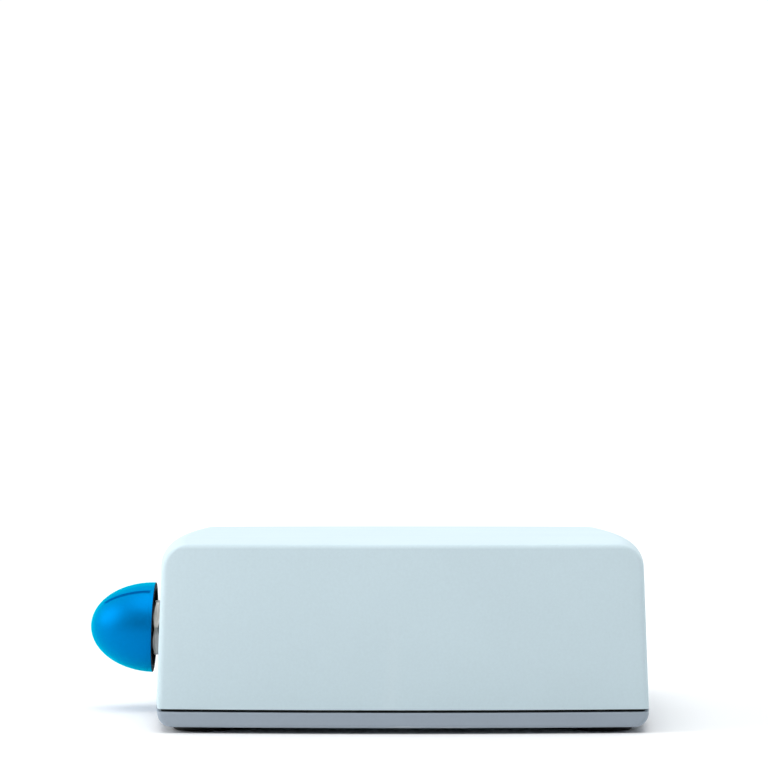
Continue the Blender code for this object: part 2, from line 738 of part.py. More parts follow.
def build_bracket():
    """A steel strap bent over the motor, on four rubber mounts."""
    half_depth = BRACKET_DEPTH / 2
    leg, toe = 0.0250, 0.0370
    path = [
        (-toe, BRACKET_FOOT + BRACKET_SHEET),
        (-leg, BRACKET_FOOT + BRACKET_SHEET),
        (-leg, BRACKET_TOP),
        (leg, BRACKET_TOP),
        (leg, BRACKET_FOOT + BRACKET_SHEET),
        (toe, BRACKET_FOOT + BRACKET_SHEET),
    ]
    bm = bmesh.new()
    near = [bm.verts.new((x, -half_depth, z)) for x, z in path]
    far = [bm.verts.new((x, half_depth, z)) for x, z in path]
    for i in range(len(path) - 1):
        bm.faces.new((near[i], near[i + 1], far[i + 1], far[i]))
    mesh = bpy.data.meshes.new("motor_bracket")
    bm.to_mesh(mesh)
    bm.free()
    bracket = add_object("motor_bracket", mesh, "zinc_sheet")
    bend = bracket.modifiers.new("bends", "BEVEL")
    bend.width = 0.0018
    bend.segments = 3
    bend.limit_method = "ANGLE"
    sheet = bracket.modifiers.new("sheet", "SOLIDIFY")
    sheet.thickness = BRACKET_SHEET
    sheet.offset = -1.0 if mesh.polygons[2].normal.z > 0 else 1.0
    sheet.use_even_offset = True

    cut(bracket, cylinder("bracket_boss_hole", 0.0044, 0.025, 0.033, steps=16))
    for side in (-1, 1):
        place = (side * MOTOR_SCREW_X, 0.0)
        cut(bracket, cylinder(f"bracket_hole_{side}", 0.0016, 0.025, 0.033, place, steps=12))
        side_name = "left" if side < 0 else "right"
        name = f"motor_screw_{side_name}"
        pan_screw(name, place, 0.0022, 0.0011, BRACKET_TOP + GAP, 0.0014, 0.0258, "steel")
    for where, place in corners(*BRACKET_POST):
        cut(bracket, cylinder(f"mount_hole_{where}", 0.0038, 0.007, 0.013, place, steps=12))
        grommet_profile = [
            (0.0018, 0.0125),
            (0.0044, 0.0125),
            (0.0048, 0.0121),
            (0.0048, 0.0111),
            (0.0033, 0.0111),
            (0.0033, 0.0089),
            (0.0048, 0.0089),
            (0.0048, 0.0073),
            (0.0018, 0.0073),
        ]
        grommet = turned(f"grommet_{where}", grommet_profile, steps=14, finish="black_rubber", ring=True)
        grommet.location = (*place, 0.0)
        pan_screw(f"bracket_screw_{where}", place, 0.0034, 0.0013, 0.0128, 0.0019, 0.0046, "steel")


# ---------------------------------------------------------------- rotor

def build_rotor():
    carrier_profile = [
        (0.0, CARRIER_TOP),
        (CARRIER_RADIUS - 0.0008, CARRIER_TOP),
        (CARRIER_RADIUS, CARRIER_TOP - 0.0008),
        (CARRIER_RADIUS, CARRIER_BOTTOM),
        (HUB_RADIUS, CARRIER_BOTTOM),
        (HUB_RADIUS, HUB_BOTTOM),
        (0.0, HUB_BOTTOM),
    ]
    carrier = turned("magnet_carrier", carrier_profile, steps=28, finish="nylon")
    cut(carrier, cylinder("carrier_bore", SHAFT_RADIUS + GAP, 0.029, 0.0413, steps=16))
    pocket_floor, magnet_low, magnet_high = 0.0366, 0.0369, 0.0422
    for name, side in (("drive_magnet_north", -1), ("drive_magnet_south", 1)):
        place = (side * MAGNET_ORBIT, 0.0)
        cut(carrier, cylinder(f"pocket_{name}", MAGNET_RADIUS + GAP, pocket_floor, 0.044, place))
        cylinder(name, MAGNET_RADIUS, magnet_low, magnet_high, place, finish="neodymium")

    grub = axis_empty("grub_axis", (0.0, 0.0, GRUB_HEIGHT), (1.0, 0.0, 0.0))
    grub_hole = cylinder("grub_hole", 0.0015, 0.0010, 0.0080, steps=14)
    hang_on(grub, grub_hole)
    cut(carrier, grub_hole)
    screw = cylinder("carrier_grub_screw", 0.0012, 0.0020, 0.0056, steps=14, finish="steel")
    socket = cylinder("grub_socket", 0.0006, 0.0042, 0.0070, steps=6)
    cut(screw, socket)
    hang_on(grub, screw)

    yoke_radius, yoke_top, yoke_bottom = 0.0190, 0.0355, 0.0341
    yoke_profile = [
        (HUB_RADIUS + GAP, yoke_top),
        (yoke_radius, yoke_top),
        (yoke_radius, yoke_bottom),
        (HUB_RADIUS + GAP, yoke_bottom),
    ]
    turned("back_iron", yoke_profile, steps=20, finish="steel", ring=True)


# ---------------------------------------------------------------- electronics

def build_board():
    board = box("control_board", BOARD_LOW, BOARD_HIGH, "board_green")
    top = BOARD_HIGH[2] + GAP
    for i, place in enumerate(BOARD_POSTS):
        cut(board, cylinder(f"board_hole_{i}", 0.0016, 0.006, 0.012, place, steps=12))
        pan_screw(f"board_screw_{i + 1}", place, 0.0026, 0.0011, top, 0.0015, 0.0046, "steel")

    header = box("lead_header", (-0.0140, HEADER_FRONT, top), (0.0090, 0.0268, 0.0145), "nylon")
    for i in range(6):
        x = -0.0110 + i * 0.0036
        cut(header, box(f"header_slot_{i}", (x - 0.0010, 0.0236, 0.0125), (x + 0.0010, 0.0256, 0.016)))
    chip = box("driver_chip", (0.0090, 0.0340, top), (0.0190, 0.0420, 0.0122), "black_plastic")
    edge = chip.modifiers.new("edge", "BEVEL")
    edge.width = 0.0003
    edge.segments = 1

    can_profile = [
        (0.0, 0.0205),
        (0.0030, 0.0205),
        (0.0034, 0.0208),
        (0.0040, 0.0204),
        (0.0040, top),
        (0.0, top),
    ]
    capacitor = turned("smoothing_capacitor", can_profile, steps=16, finish="black_plastic")
    capacitor.location = (-0.0180, 0.0380, 0.0)


def build_jack(cover):
    origin = Vector((wall_half(JACK_HEIGHT), 0.0, JACK_HEIGHT))
    fixed = axis_empty("jack_axis", origin, (math.cos(DRAFT), 0.0, math.sin(DRAFT)))
    wall_bore = cylinder("jack_wall_bore", JACK_RADIUS + GAP, -0.006, 0.004, steps=24)
    hang_on(fixed, wall_bore)
    cut(cover, wall_bore)

    body_profile = [
        (JACK_BORE, FLANGE_FACE),
        (FLANGE_FACE_RADIUS, FLANGE_FACE),
        (0.0062, 0.0010),
        (0.0062, 0.0002),
        (JACK_RADIUS, 0.0002),
        (JACK_RADIUS, -0.0130),
        (0.0013, -0.0130),
        (0.0013, -0.0105),
        (JACK_BORE, -0.0105),
    ]
    jack = turned("dc_jack", body_profile, steps=24, finish="black_plastic", ring=True)
    pin_profile = [
        (0.0, -0.0008),
        (0.0006, -0.0008),
        (0.0010, -0.0014),
        (0.0010, -0.0150),
        (0.0, -0.0150),
    ]
    pin = turned("jack_pin", pin_profile, steps=12, finish="nickel")
    nut = hex_nut("jack_nut", 0.0130, JACK_RADIUS + GAP, -0.0050, -0.0029, "nickel")
    hang_on(fixed, jack, pin, nut)


# Routes of the internal leads, from the part at one end to the board's header.
ROUTES = {
    "motor_lead_positive": (
        "red_wire",
        WIRE_RADIUS,
        [
            (-0.0060, 0.0090, 0.0071),
            (-0.0060, 0.0098, 0.0056),
            (-0.0060, 0.0125, 0.0046),
            (-0.0060, 0.0165, 0.0052),
            (-0.0060, 0.0190, 0.0080),
            (-0.0060, 0.0202, 0.0108),
            (-0.0060, 0.0220, 0.0118),
        ],
    ),
    "motor_lead_negative": (
        "black_wire",
        WIRE_RADIUS,
        [
            (-0.0025, 0.0095, 0.0071),
            (-0.0025, 0.0103, 0.0056),
            (-0.0025, 0.0130, 0.0046),
            (-0.0025, 0.0165, 0.0052),
            (-0.0025, 0.0190, 0.0080),
            (-0.0025, 0.0202, 0.0108),
            (-0.0025, 0.0220, 0.0118),
        ],
    ),
    "supply_lead_positive": (
        "red_wire",
        WIRE_RADIUS,
        [
            (0.0478, 0.0, 0.0195),
            (0.0445, 0.0008, 0.0190),
            (0.0412, 0.0050, 0.0165),
            (0.0395, 0.0110, 0.0138),
            (0.0362, 0.0163, 0.0126),
            (0.0290, 0.0184, 0.0125),
            (0.0180, 0.0187, 0.0125),
            (0.0095, 0.0190, 0.0125),
            (0.0066, 0.0203, 0.0121),
            (0.0060, 0.0220, 0.0118),
        ],
    ),
    "supply_lead_negative": (
        "black_wire",
        WIRE_RADIUS,
        [
            (0.0498, -0.0034, 0.0193),
            (0.0462, -0.0032, 0.0178),
            (0.0424, 0.0008, 0.0130),
            (0.0405, 0.0080, 0.0090),
            (0.0385, 0.0145, 0.0076),
            (0.0320, 0.0176, 0.0072),
            (0.0180, 0.0178, 0.0072),
            (0.0070, 0.0181, 0.0078),
            (0.0034, 0.0192, 0.0098),
            (0.0028, 0.0206, 0.0114),
            (0.0028, 0.0220, 0.0118),
        ],
    ),
    "pot_cable": (
        "grey_cable",
        CABLE_RADIUS,
        [
            (-0.0579, 0.0155, 0.0217),
            (-0.0577, 0.0185, 0.0212),
            (-0.0545, 0.0222, 0.0190),
            (-0.0480, 0.0222, 0.0158),
            (-0.0400, 0.0194, 0.0134),
            (-0.0270, 0.0184, 0.0126),
            (-0.0160, 0.0188, 0.0122),
            (-0.0118, 0.0202, 0.0120),
            (-0.0110, 0.0220, 0.0119),
        ],
    ),
}


def build_leads():
    for name, (finish, radius, points) in ROUTES.items():
        tube(name, points, radius, finish)


# ---------------------------------------------------------------- build

def centre_overall_length():
    """Shifts everything along X, so the origin lies under the middle of the overall length."""
    rise = math.sin(DRAFT)
    run = math.cos(DRAFT)
    knob_tip = -wall_half(CONTROL_HEIGHT) - (KNOB_BACK + KNOB_LENGTH) * run
    flange_edge = wall_half(JACK_HEIGHT) + FLANGE_FACE * run + FLANGE_FACE_RADIUS * rise
    for obj in (*PARTS.objects, *CUTTERS.objects):
        if obj.parent is None:
            obj.location.x -= (knob_tip + flange_edge) / 2


def main():
    cover = build_cover()
    build_base()
    build_seal()
    build_feet()
    build_speed_control(cover)
    build_motor()
    build_bracket()
    build_rotor()
    build_board()
    build_jack(cover)
    build_leads()
    centre_overall_length()


main()
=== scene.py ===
"""Compact magnetic stirrer, finished for the studio on the fixed frame of its solid model.

Every piece is made in the frame's own coordinates: metres, +Z up, feet on Z = 0, the speed knob on the
left wall (-X), the supply socket on the right wall (+X) and the front towards -Y.
"""

import json
import logging
import math
from collections.abc import Iterable, Sequence
from dataclasses import dataclass
from enum import Enum

import bmesh
import bpy
from mathutils import Matrix, Vector


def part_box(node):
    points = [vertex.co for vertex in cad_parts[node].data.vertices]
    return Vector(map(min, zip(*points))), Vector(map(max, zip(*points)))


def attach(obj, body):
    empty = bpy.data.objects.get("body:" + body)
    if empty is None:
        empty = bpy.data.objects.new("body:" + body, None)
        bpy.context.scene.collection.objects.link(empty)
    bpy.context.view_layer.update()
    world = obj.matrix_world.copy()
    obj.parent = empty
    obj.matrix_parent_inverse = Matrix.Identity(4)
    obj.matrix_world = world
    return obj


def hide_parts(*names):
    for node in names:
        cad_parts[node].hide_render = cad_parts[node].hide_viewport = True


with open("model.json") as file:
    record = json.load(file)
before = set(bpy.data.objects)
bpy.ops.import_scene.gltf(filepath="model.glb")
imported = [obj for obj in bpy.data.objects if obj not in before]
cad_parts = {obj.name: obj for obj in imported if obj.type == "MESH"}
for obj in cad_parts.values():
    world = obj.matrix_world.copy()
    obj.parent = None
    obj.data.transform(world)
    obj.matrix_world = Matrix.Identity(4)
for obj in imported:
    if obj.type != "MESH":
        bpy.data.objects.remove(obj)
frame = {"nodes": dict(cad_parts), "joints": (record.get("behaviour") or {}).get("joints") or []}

LOG = logging.getLogger("stirrer")
GAP = 0.0003  # clearance between neighbouring solids
PAST = 0.002  # how far a cutting solid runs on past the face that it opens
WALL_CUT = (-0.006, 0.004)  # how deep and how far out a hole through a side wall is cut
SHARP = math.radians(32)  # edges that fold more than this are shaded sharp
TAU = 2 * math.pi

Pair = tuple[float, float]
Triple = tuple[float, float, float]
Ring = list[Vector]


class Slot(Enum):
    """The record's material slots."""

    COVER = "cover_plastic"
    BASE = "base_plastic"
    RUBBER = "black_rubber"
    KNOB = "knob_plastic"
    NICKEL = "nickel"
    STEEL = "steel"
    ZINC = "zinc_sheet"
    BRONZE = "bronze"
    FERRITE = "ferrite"
    MAGNET = "neodymium"
    NYLON = "nylon"
    BLACK = "black_plastic"
    PHENOLIC = "phenolic"
    BOARD = "board_green"
    COPPER = "copper"
    RED_WIRE = "red_wire"
    BLACK_WIRE = "black_wire"
    GREY_CABLE = "grey_cable"


class Body(Enum):
    """The bodies that pieces ride on."""

    HOUSING = "housing"
    KNOB = "knob"
    ROTOR = "rotor"


class Lay(Enum):
    """The way a surface's fine marks run, as how far they stretch along X, Y and Z."""

    EVEN = (1.0, 1.0, 1.0)
    ALONG_X = (14.0, 1.0, 1.0)
    ALONG_Y = (1.0, 14.0, 1.0)
    ROUND_X = (1.0, 14.0, 14.0)
    ROUND_Z = (14.0, 14.0, 1.0)


class Joining(Enum):
    """How one solid is worked into another."""

    ADD = "UNION"
    CUT = "DIFFERENCE"


# ---------------------------------------------------------------- finishes


class Graph:
    """A material's nodes, with a short call for each kind that the finishes use."""

    def __init__(self, name: str) -> None:
        """Starts a node material whose textures follow the piece.

        Args:
            name: The material's name.
        """
        self.material = bpy.data.materials.new(name)
        self.material.use_nodes = True
        self.tree = self.material.node_tree
        self.shader = self.tree.nodes["Principled BSDF"]
        self.place = self.node("TexCoord").outputs["Object"]

    def node(self, kind: str, **settings: object) -> bpy.types.Node:
        """Adds a shader node.

        Args:
            kind: The node's kind, without Blender's prefix.
            settings: The node's own settings.

        Returns:
            The new node.
        """
        node = self.tree.nodes.new(f"ShaderNode{kind}")
        for key, value in settings.items():
            setattr(node, key, value)
        return node

    def feed(self, socket: bpy.types.NodeSocket, value: object) -> None:
        """Links a socket to another one, or sets it to a plain value.

        Args:
            socket: The input to fill.
            value: A socket, a number or a colour.
        """
        if isinstance(value, bpy.types.NodeSocket):
            self.tree.links.new(value, socket)
        elif isinstance(value, tuple) and len(value) == 3 and len(socket.default_value) == 4:
            socket.default_value = (*value, 1.0)
        else:
            socket.default_value = value

    def stretched(self, size: float, lay: Lay) -> bpy.types.NodeSocket:
        """Gives the piece's own coordinates, scaled so that one unit is one mark of that size.

        Args:
            size: Distance across one mark, in metres.
            lay: The way the marks run.

        Returns:
            The scaled coordinates.
        """
        mapping = self.node("Mapping")
        mapping.inputs["Scale"].default_value = [1 / (size * stretch) for stretch in lay.value]
        self.tree.links.new(self.place, mapping.inputs["Vector"])
        return mapping.outputs["Vector"]

    def noise(self, size: float, detail: float = 2.0, lay: Lay = Lay.EVEN) -> bpy.types.NodeSocket:
        """Adds soft random variation.

        Args:
            size: Distance across one patch, in metres.
            detail: How many finer layers lie on it.
            lay: The way the patches run.

        Returns:
            A factor about 0.5.
        """
        noise = self.node("TexNoise")
        noise.inputs["Scale"].default_value = 1.0
        noise.inputs["Detail"].default_value = detail
        self.tree.links.new(self.stretched(size, lay), noise.inputs["Vector"])
        return noise.outputs["Fac"]

    def cells(self, size: float, lay: Lay = Lay.EVEN) -> bpy.types.NodeSocket:
        """Adds a field of pits or grains.

        Args:
            size: Distance across one grain, in metres.
            lay: The way the grains run.

        Returns:
            The distance from each grain's middle, from 0 up.
        """
        cells = self.node("TexVoronoi")
        cells.inputs["Scale"].default_value = 1.0
        self.tree.links.new(self.stretched(size, lay), cells.inputs["Vector"])
        return cells.outputs["Distance"]

    def edges(self) -> bpy.types.NodeSocket:
        """Gives how strongly the surface folds outwards, about 0.5 where it is flat."""
        return self.node("NewGeometry").outputs["Pointiness"]

    def spread(self, value: bpy.types.NodeSocket, source: Pair, target: Pair) -> bpy.types.NodeSocket:
        """Maps a factor from one range to another, clamped.

        Args:
            value: The factor.
            source: The range that is read.
            target: The range that is given.

        Returns:
            The mapped factor.
        """
        node = self.node("MapRange")
        for key, number in zip(("From Min", "From Max", "To Min", "To Max"), (*source, *target)):
            node.inputs[key].default_value = number
        self.tree.links.new(value, node.inputs["Value"])
        return node.outputs["Result"]

    def blend(self, factor: object, first: object, second: object) -> bpy.types.NodeSocket:
        """Blends two colours.

        Args:
            factor: The share of the second colour.
            first: A colour.
            second: A colour.

        Returns:
            The blended colour.
        """
        node = self.node("Mix", data_type="RGBA")
        self.feed(node.inputs[0], factor)
        self.feed(node.inputs[6], first)
        self.feed(node.inputs[7], second)
        return node.outputs[2]

    def sum(self, *values: bpy.types.NodeSocket) -> bpy.types.NodeSocket:
        """Adds factors up.

        Args:
            values: Two or more factors.

        Returns:
            Their sum.
        """
        total = values[0]
        for value in values[1:]:
            node = self.node("Math", operation="ADD")
            self.tree.links.new(total, node.inputs[0])
            self.tree.links.new(value, node.inputs[1])
            total = node.outputs[0]
        return total

    def relief(self, height: bpy.types.NodeSocket, depth: float) -> None:
        """Raises the surface by a factor, over any relief that it already has.

        Args:
            height: The factor.
            depth: How deep a factor of 1 is, in metres.
        """
        bump = self.node("Bump")
        bump.inputs["Distance"].default_value = depth
        self.tree.links.new(height, bump.inputs["Height"])
        normal = self.shader.inputs["Normal"]
        if normal.is_linked:
            self.tree.links.new(normal.links[0].from_socket, bump.inputs["Normal"])
        self.tree.links.new(bump.outputs["Normal"], normal)


def shade(colour: Triple, factor: float) -> Triple:
    """Returns a colour made lighter or darker by a factor."""
    return tuple(min(1.0, channel * factor) for channel in colour)


@dataclass(frozen=True)
class Finish:
    """What every finish has: a colour, and how rough and how metallic it is."""

    colour: Triple
    roughness: float
    metallic: float = 0.0
    specular: float = 0.5
    tint: Triple = (1.0, 1.0, 1.0)

    def material(self, name: str) -> bpy.types.Material:
        """Makes the finish's node material, or finds it if it is made already.

        Args:
            name: The material's name.

        Returns:
            The material.
        """
        found = bpy.data.materials.get(f"{name}_finish")
        if found:
            return found
        graph = Graph(f"{name}_finish")
        graph.shader.inputs["Metallic"].default_value = self.metallic
        graph.shader.inputs["Specular IOR Level"].default_value = self.specular
        graph.shader.inputs["Specular Tint"].default_value = (*self.tint, 1.0)
        self.wire(graph)
        return graph.material

    def wire(self, graph: Graph) -> None:
        """Adds the detail that makes this finish what it is."""
        raise NotImplementedError


@dataclass(frozen=True)
class Moulding(Finish):
    """Injection-moulded plastic, with the eroded grain of its mould, and edges lightened as handling wear
    and painted highlight.
    """

    grain: float = 0.00028
    relief: float = 0.000008
    mottle: float = 0.025
    edge_wear_and_highlight: float = 0.06

    def wire(self, graph: Graph) -> None:
        """Adds clouding, flecks, edges lightened as wear and painted highlight, uneven gloss and grain.

        Args:
            graph: The nodes to add to.
        """
        cloud = graph.noise(0.030, detail=3.0)
        fleck = graph.noise(2.2 * self.grain, detail=1.0)
        mixed = graph.spread(graph.sum(cloud, fleck), (0.6, 1.4), (0.0, 1.0))
        body = graph.blend(mixed, shade(self.colour, 1 - self.mottle), shade(self.colour, 1 + self.mottle))
        # Convex edges are lightened towards a pale blue-white: partly handling wear, partly a painted
        # highlight on the edges.
        worn_and_highlit_edges = graph.spread(graph.edges(), (0.52, 0.62), (0.0, self.edge_wear_and_highlight))
        graph.feed(graph.shader.inputs["Base Color"], graph.blend(worn_and_highlit_edges, body, (0.9, 0.93, 0.95)))
        smear = graph.noise(0.018, detail=4.0, lay=Lay.ALONG_X)
        gloss = graph.spread(smear, (0.35, 0.65), (self.roughness - 0.04, self.roughness + 0.05))
        graph.feed(graph.shader.inputs["Roughness"], gloss)
        graph.relief(graph.noise(self.grain, detail=2.0), self.relief)


@dataclass(frozen=True)
class Dyed(Moulding):
    """Moulded plastic dyed right through, which shines in its own colour."""

    tint: Triple = (0.0, 1.0, 1.0)
    sheen: float = 0.85
    sheen_roughness: float = 0.45

    def wire(self, graph: Graph) -> None:
        """Adds the moulding's detail under a coloured sheen.

        Args:
            graph: The nodes to add to.
        """
        super().wire(graph)
        graph.shader.inputs["Sheen Weight"].default_value = self.sheen
        graph.shader.inputs["Sheen Roughness"].default_value = self.sheen_roughness
        graph.shader.inputs["Sheen Tint"].default_value = (*self.tint, 1.0)


@dataclass(frozen=True)
class Metal(Finish):
    """Bare or plated metal, with the marks of how it was drawn, turned or rolled."""

    metallic: float = 1.0
    lay: Lay = Lay.EVEN
    marks: float = 0.00012
    relief: float = 0.000004
    streak: float = 0.90
    stain: Triple = (0.35, 0.32, 0.28)

    def wire(self, graph: Graph) -> None:
        """Adds tool marks, patches of dulling and a trace of stain.

        Args:
            graph: The nodes to add to.
        """
        streak = graph.noise(self.marks, detail=3.0, lay=self.lay)
        patch = graph.noise(0.0035, detail=4.0)
        dark = shade(self.colour, self.streak)
        toned = graph.blend(graph.spread(streak, (0.35, 0.65), (0.0, 1.0)), dark, self.colour)
        dulled = graph.spread(patch, (0.55, 0.75), (0.0, 0.25))
        graph.feed(graph.shader.inputs["Base Color"], graph.blend(dulled, toned, self.stain))
        limits = (0.75 * self.roughness, 1.25 * self.roughness)
        rough = graph.spread(graph.sum(streak, patch), (0.7, 1.3), limits)
        graph.feed(graph.shader.inputs["Roughness"], rough)
        graph.relief(streak, self.relief)


@dataclass(frozen=True)
class Rubber(Finish):
    """Moulded rubber or soft insulation: fine grain, with a bloom of dust."""

    grain: float = 0.00035
    relief: float = 0.000012
    bloom: Triple = (0.12, 0.12, 0.12)

    def wire(self, graph: Graph) -> None:
        """Adds grain, uneven gloss and dust.

        Args:
            graph: The nodes to add to.
        """
        dust = graph.spread(graph.noise(0.004, detail=5.0), (0.50, 0.72), (0.0, 0.35))
        graph.feed(graph.shader.inputs["Base Color"], graph.blend(dust, self.colour, self.bloom))
        patch = graph.noise(0.006, detail=2.0)
        rough = graph.spread(patch, (0.35, 0.65), (self.roughness - 0.06, min(1.0, self.roughness + 0.06)))
        graph.feed(graph.shader.inputs["Roughness"], rough)
        graph.relief(graph.noise(self.grain, detail=3.0), self.relief)


@dataclass(frozen=True)
class Sintered(Finish):
    """Pressed and fired powder: ferrite or porous bronze, pitted all over."""

    pit: float = 0.00022

    def wire(self, graph: Graph) -> None:
        """Adds pits, painted shade in the pits and uneven colour.

        Args:
            graph: The nodes to add to.
        """
        pits = graph.cells(self.pit)
        # The pits are darkened in colour: painted shade in the pores.
        pit_shade = graph.spread(pits, (0.0, 0.35), (1.0, 0.0))
        patch = graph.spread(graph.noise(0.002, detail=3.0), (0.35, 0.65), (0.0, 1.0))
        toned = graph.blend(patch, shade(self.colour, 0.8), shade(self.colour, 1.2))
        graph.feed(graph.shader.inputs["Base Color"], graph.blend(pit_shade, toned, shade(self.colour, 0.3)))
        rough = graph.spread(pits, (0.0, 0.7), (min(1.0, self.roughness + 0.15), self.roughness))
        graph.feed(graph.shader.inputs["Roughness"], rough)
        graph.relief(pits, 0.00002)


@dataclass(frozen=True)
class Laminate(Finish):
    """Paper or glass board, with its layers showing at the edges and its weave through the face."""

    layer: float = 0.00018
    trace: Triple | None = None

    def wire(self, graph: Graph) -> None:
        """Adds layers, weave and, on a circuit board, tracks under the mask.

        Args:
            graph: The nodes to add to.
        """
        layers = graph.noise(self.layer, detail=1.0, lay=Lay.ROUND_Z)
        weave = graph.cells(0.0006)
        banded = graph.spread(layers, (0.4, 0.6), (0.0, 1.0))
        toned = graph.blend(banded, shade(self.colour, 0.8), self.colour)
        if self.trace:
            tracks = graph.node("TexVoronoi", feature="DISTANCE_TO_EDGE")
            tracks.inputs["Scale"].default_value = 1.0
            graph.feed(tracks.inputs["Vector"], graph.stretched(0.0032, Lay.EVEN))
            along = graph.spread(tracks.outputs["Distance"], (0.05, 0.09), (0.8, 0.0))
            toned = graph.blend(along, toned, self.trace)
        graph.feed(graph.shader.inputs["Base Color"], toned)
        rough = graph.spread(weave, (0.0, 0.8), (self.roughness + 0.08, self.roughness - 0.05))
        graph.feed(graph.shader.inputs["Roughness"], rough)
        graph.relief(weave, 0.00001)


# Near-black finish for the knob's rear rim and the inside of its hollow back: painted shade where that
# hollow lies in shadow.
KNOB_PAINTED_SHADE = Moulding(colour=(0.005, 0.006, 0.010), roughness=0.60, edge_wear_and_highlight=0.0, specular=0.08)
FINISHES: dict[Slot, Finish] = {
    Slot.COVER: Moulding(colour=(0.580, 0.710, 0.765), roughness=0.54, specular=0.08),
    Slot.BASE: Moulding(colour=(0.322, 0.380, 0.444), roughness=0.52, edge_wear_and_highlight=0.12, specular=0.25),
    Slot.KNOB: Dyed(
        colour=(0.0, 0.175, 0.50), roughness=0.47, metallic=0.62, mottle=0.04, edge_wear_and_highlight=0.0, specular=0.0
    ),
    Slot.RUBBER: Rubber(colour=(0.012, 0.012, 0.013), roughness=0.78, specular=0.3),
    Slot.NICKEL: Metal(
        colour=(0.74, 0.73, 0.70), roughness=0.48, lay=Lay.ROUND_X, marks=0.00028, streak=0.50
    ),
    Slot.STEEL: Metal(colour=(0.55, 0.56, 0.58), roughness=0.34, lay=Lay.ROUND_Z),
    Slot.ZINC: Metal(colour=(0.60, 0.61, 0.60), roughness=0.40, lay=Lay.ALONG_Y, marks=0.0002),
    Slot.BRONZE: Sintered(colour=(0.55, 0.36, 0.18), roughness=0.45, metallic=1.0),
    Slot.FERRITE: Sintered(colour=(0.05, 0.05, 0.055), roughness=0.62, pit=0.00035),
    Slot.MAGNET: Metal(colour=(0.70, 0.70, 0.70), roughness=0.20, marks=0.0004),
    Slot.NYLON: Moulding(colour=(0.80, 0.79, 0.74), roughness=0.50, edge_wear_and_highlight=0.0),
    Slot.BLACK: Moulding(colour=(0.022, 0.022, 0.025), roughness=0.42, mottle=0.15, edge_wear_and_highlight=0.05),
    Slot.PHENOLIC: Laminate(colour=(0.28, 0.14, 0.06), roughness=0.55),
    Slot.BOARD: Laminate(colour=(0.02, 0.20, 0.10), roughness=0.36, trace=(0.04, 0.34, 0.14)),
    Slot.COPPER: Metal(colour=(0.72, 0.38, 0.24), roughness=0.32, lay=Lay.ROUND_Z, marks=0.00015),
    Slot.RED_WIRE: Rubber(colour=(0.55, 0.02, 0.02), roughness=0.42, bloom=(0.62, 0.20, 0.18)),
    Slot.BLACK_WIRE: Rubber(colour=(0.02, 0.02, 0.02), roughness=0.42),
    Slot.GREY_CABLE: Rubber(colour=(0.30, 0.30, 0.32), roughness=0.48, bloom=(0.42, 0.42, 0.43)),
}


# ---------------------------------------------------------------- mesh work


def to_object(name: str, bm: bmesh.types.BMesh) -> bpy.types.Object:
    """Turns worked faces into a smooth object with its folds marked sharp.

    Args:
        name: The object's name.
        bm: The faces, which are freed.

    Returns:
        The object, in the scene.
    """
    bmesh.ops.remove_doubles(bm, verts=bm.verts, dist=1e-7)
    bmesh.ops.recalc_face_normals(bm, faces=bm.faces)
    mesh = bpy.data.meshes.new(name)
    bm.to_mesh(mesh)
    bm.free()
    obj = bpy.data.objects.new(name, mesh)
    bpy.context.scene.collection.objects.link(obj)
    return smoothed(obj)


def smoothed(obj: bpy.types.Object) -> bpy.types.Object:
    """Shades an object smooth between its folds.

    Args:
        obj: The object.

    Returns:
        The same object.
    """
    obj.data.shade_smooth()
    obj.data.set_sharp_from_angle(angle=SHARP)
    return obj


def loft(name: str, rings: Sequence[Sequence[Vector]], looped: bool = False) -> bpy.types.Object:
    """Skins a closed solid through rings that have the same number of points.

    Args:
        name: The object's name.
        rings: The rings, in order.
        looped: Whether the last ring joins the first one, instead of both being capped.

    Returns:
        The solid.
    """
    bm = bmesh.new()
    loops = [[bm.verts.new(point) for point in ring] for ring in rings]
    count = len(loops[0])
    following = [*loops[1:], loops[0]] if looped else loops[1:]
    for lower, upper in zip(loops, following):
        for i in range(count):
            j = (i + 1) % count
            bm.faces.new((lower[i], lower[j], upper[j], upper[i]))
    if not looped:
        bm.faces.new(loops[0])
        bm.faces.new(loops[-1])
    return to_object(name, bm)


def circle(radius: float, height: float, axis: Matrix, steps: int) -> Ring:
    """Lays points evenly round an axis.

    Args:
        radius: The circle's radius.
        height: Its place along the axis.
        axis: The axis, as the matrix that takes its local Z there.
        steps: How many points.

    Returns:
        The points.
    """
    turns = (TAU * i / steps for i in range(steps))
    return [axis @ Vector((radius * math.cos(t), radius * math.sin(t), height)) for t in turns]


def rounded(points: Sequence[Triple], looped: bool = False, steps: int = 4) -> list[Pair]:
    """Rounds the corners of a profile.

    Args:
        points: Across, along and the corner's radius, for each corner.
        looped: Whether the last point joins the first one.
        steps: How many spans round each corner.

    Returns:
        The profile, across and along.
    """
    corners = [(Vector(point[:2]), point[2]) for point in points]
    profile: list[Pair] = []
    for i, (corner, radius) in enumerate(corners):
        inner = looped or 0 < i < len(corners) - 1
        if not inner or radius == 0.0:
            profile.append(tuple(corner))
            continue
        before = (corners[i - 1][0] - corner).normalized()
        after = (corners[(i + 1) % len(corners)][0] - corner).normalized()
        reach = radius / math.tan(before.angle(after) / 2)
        for k in range(steps + 1):
            t = k / steps
            start, end = corner + reach * before, corner + reach * after
            profile.append(tuple((1 - t) ** 2 * start + 2 * t * (1 - t) * corner + t**2 * end))
    return profile


def turned(
    name: str, profile: Sequence[Pair], axis: Matrix, steps: int = 64, looped: bool = False
) -> bpy.types.Object:
    """Turns a profile about an axis.

    Args:
        name: The object's name.
        profile: Radius and height of each point.
        axis: The axis, as the matrix that takes its local Z there.
        steps: How many facets go round.
        looped: Whether the profile closes on itself, as a washer's does.

    Returns:
        The turned solid.
    """
    return loft(name, [circle(radius, height, axis, steps) for radius, height in profile], looped)


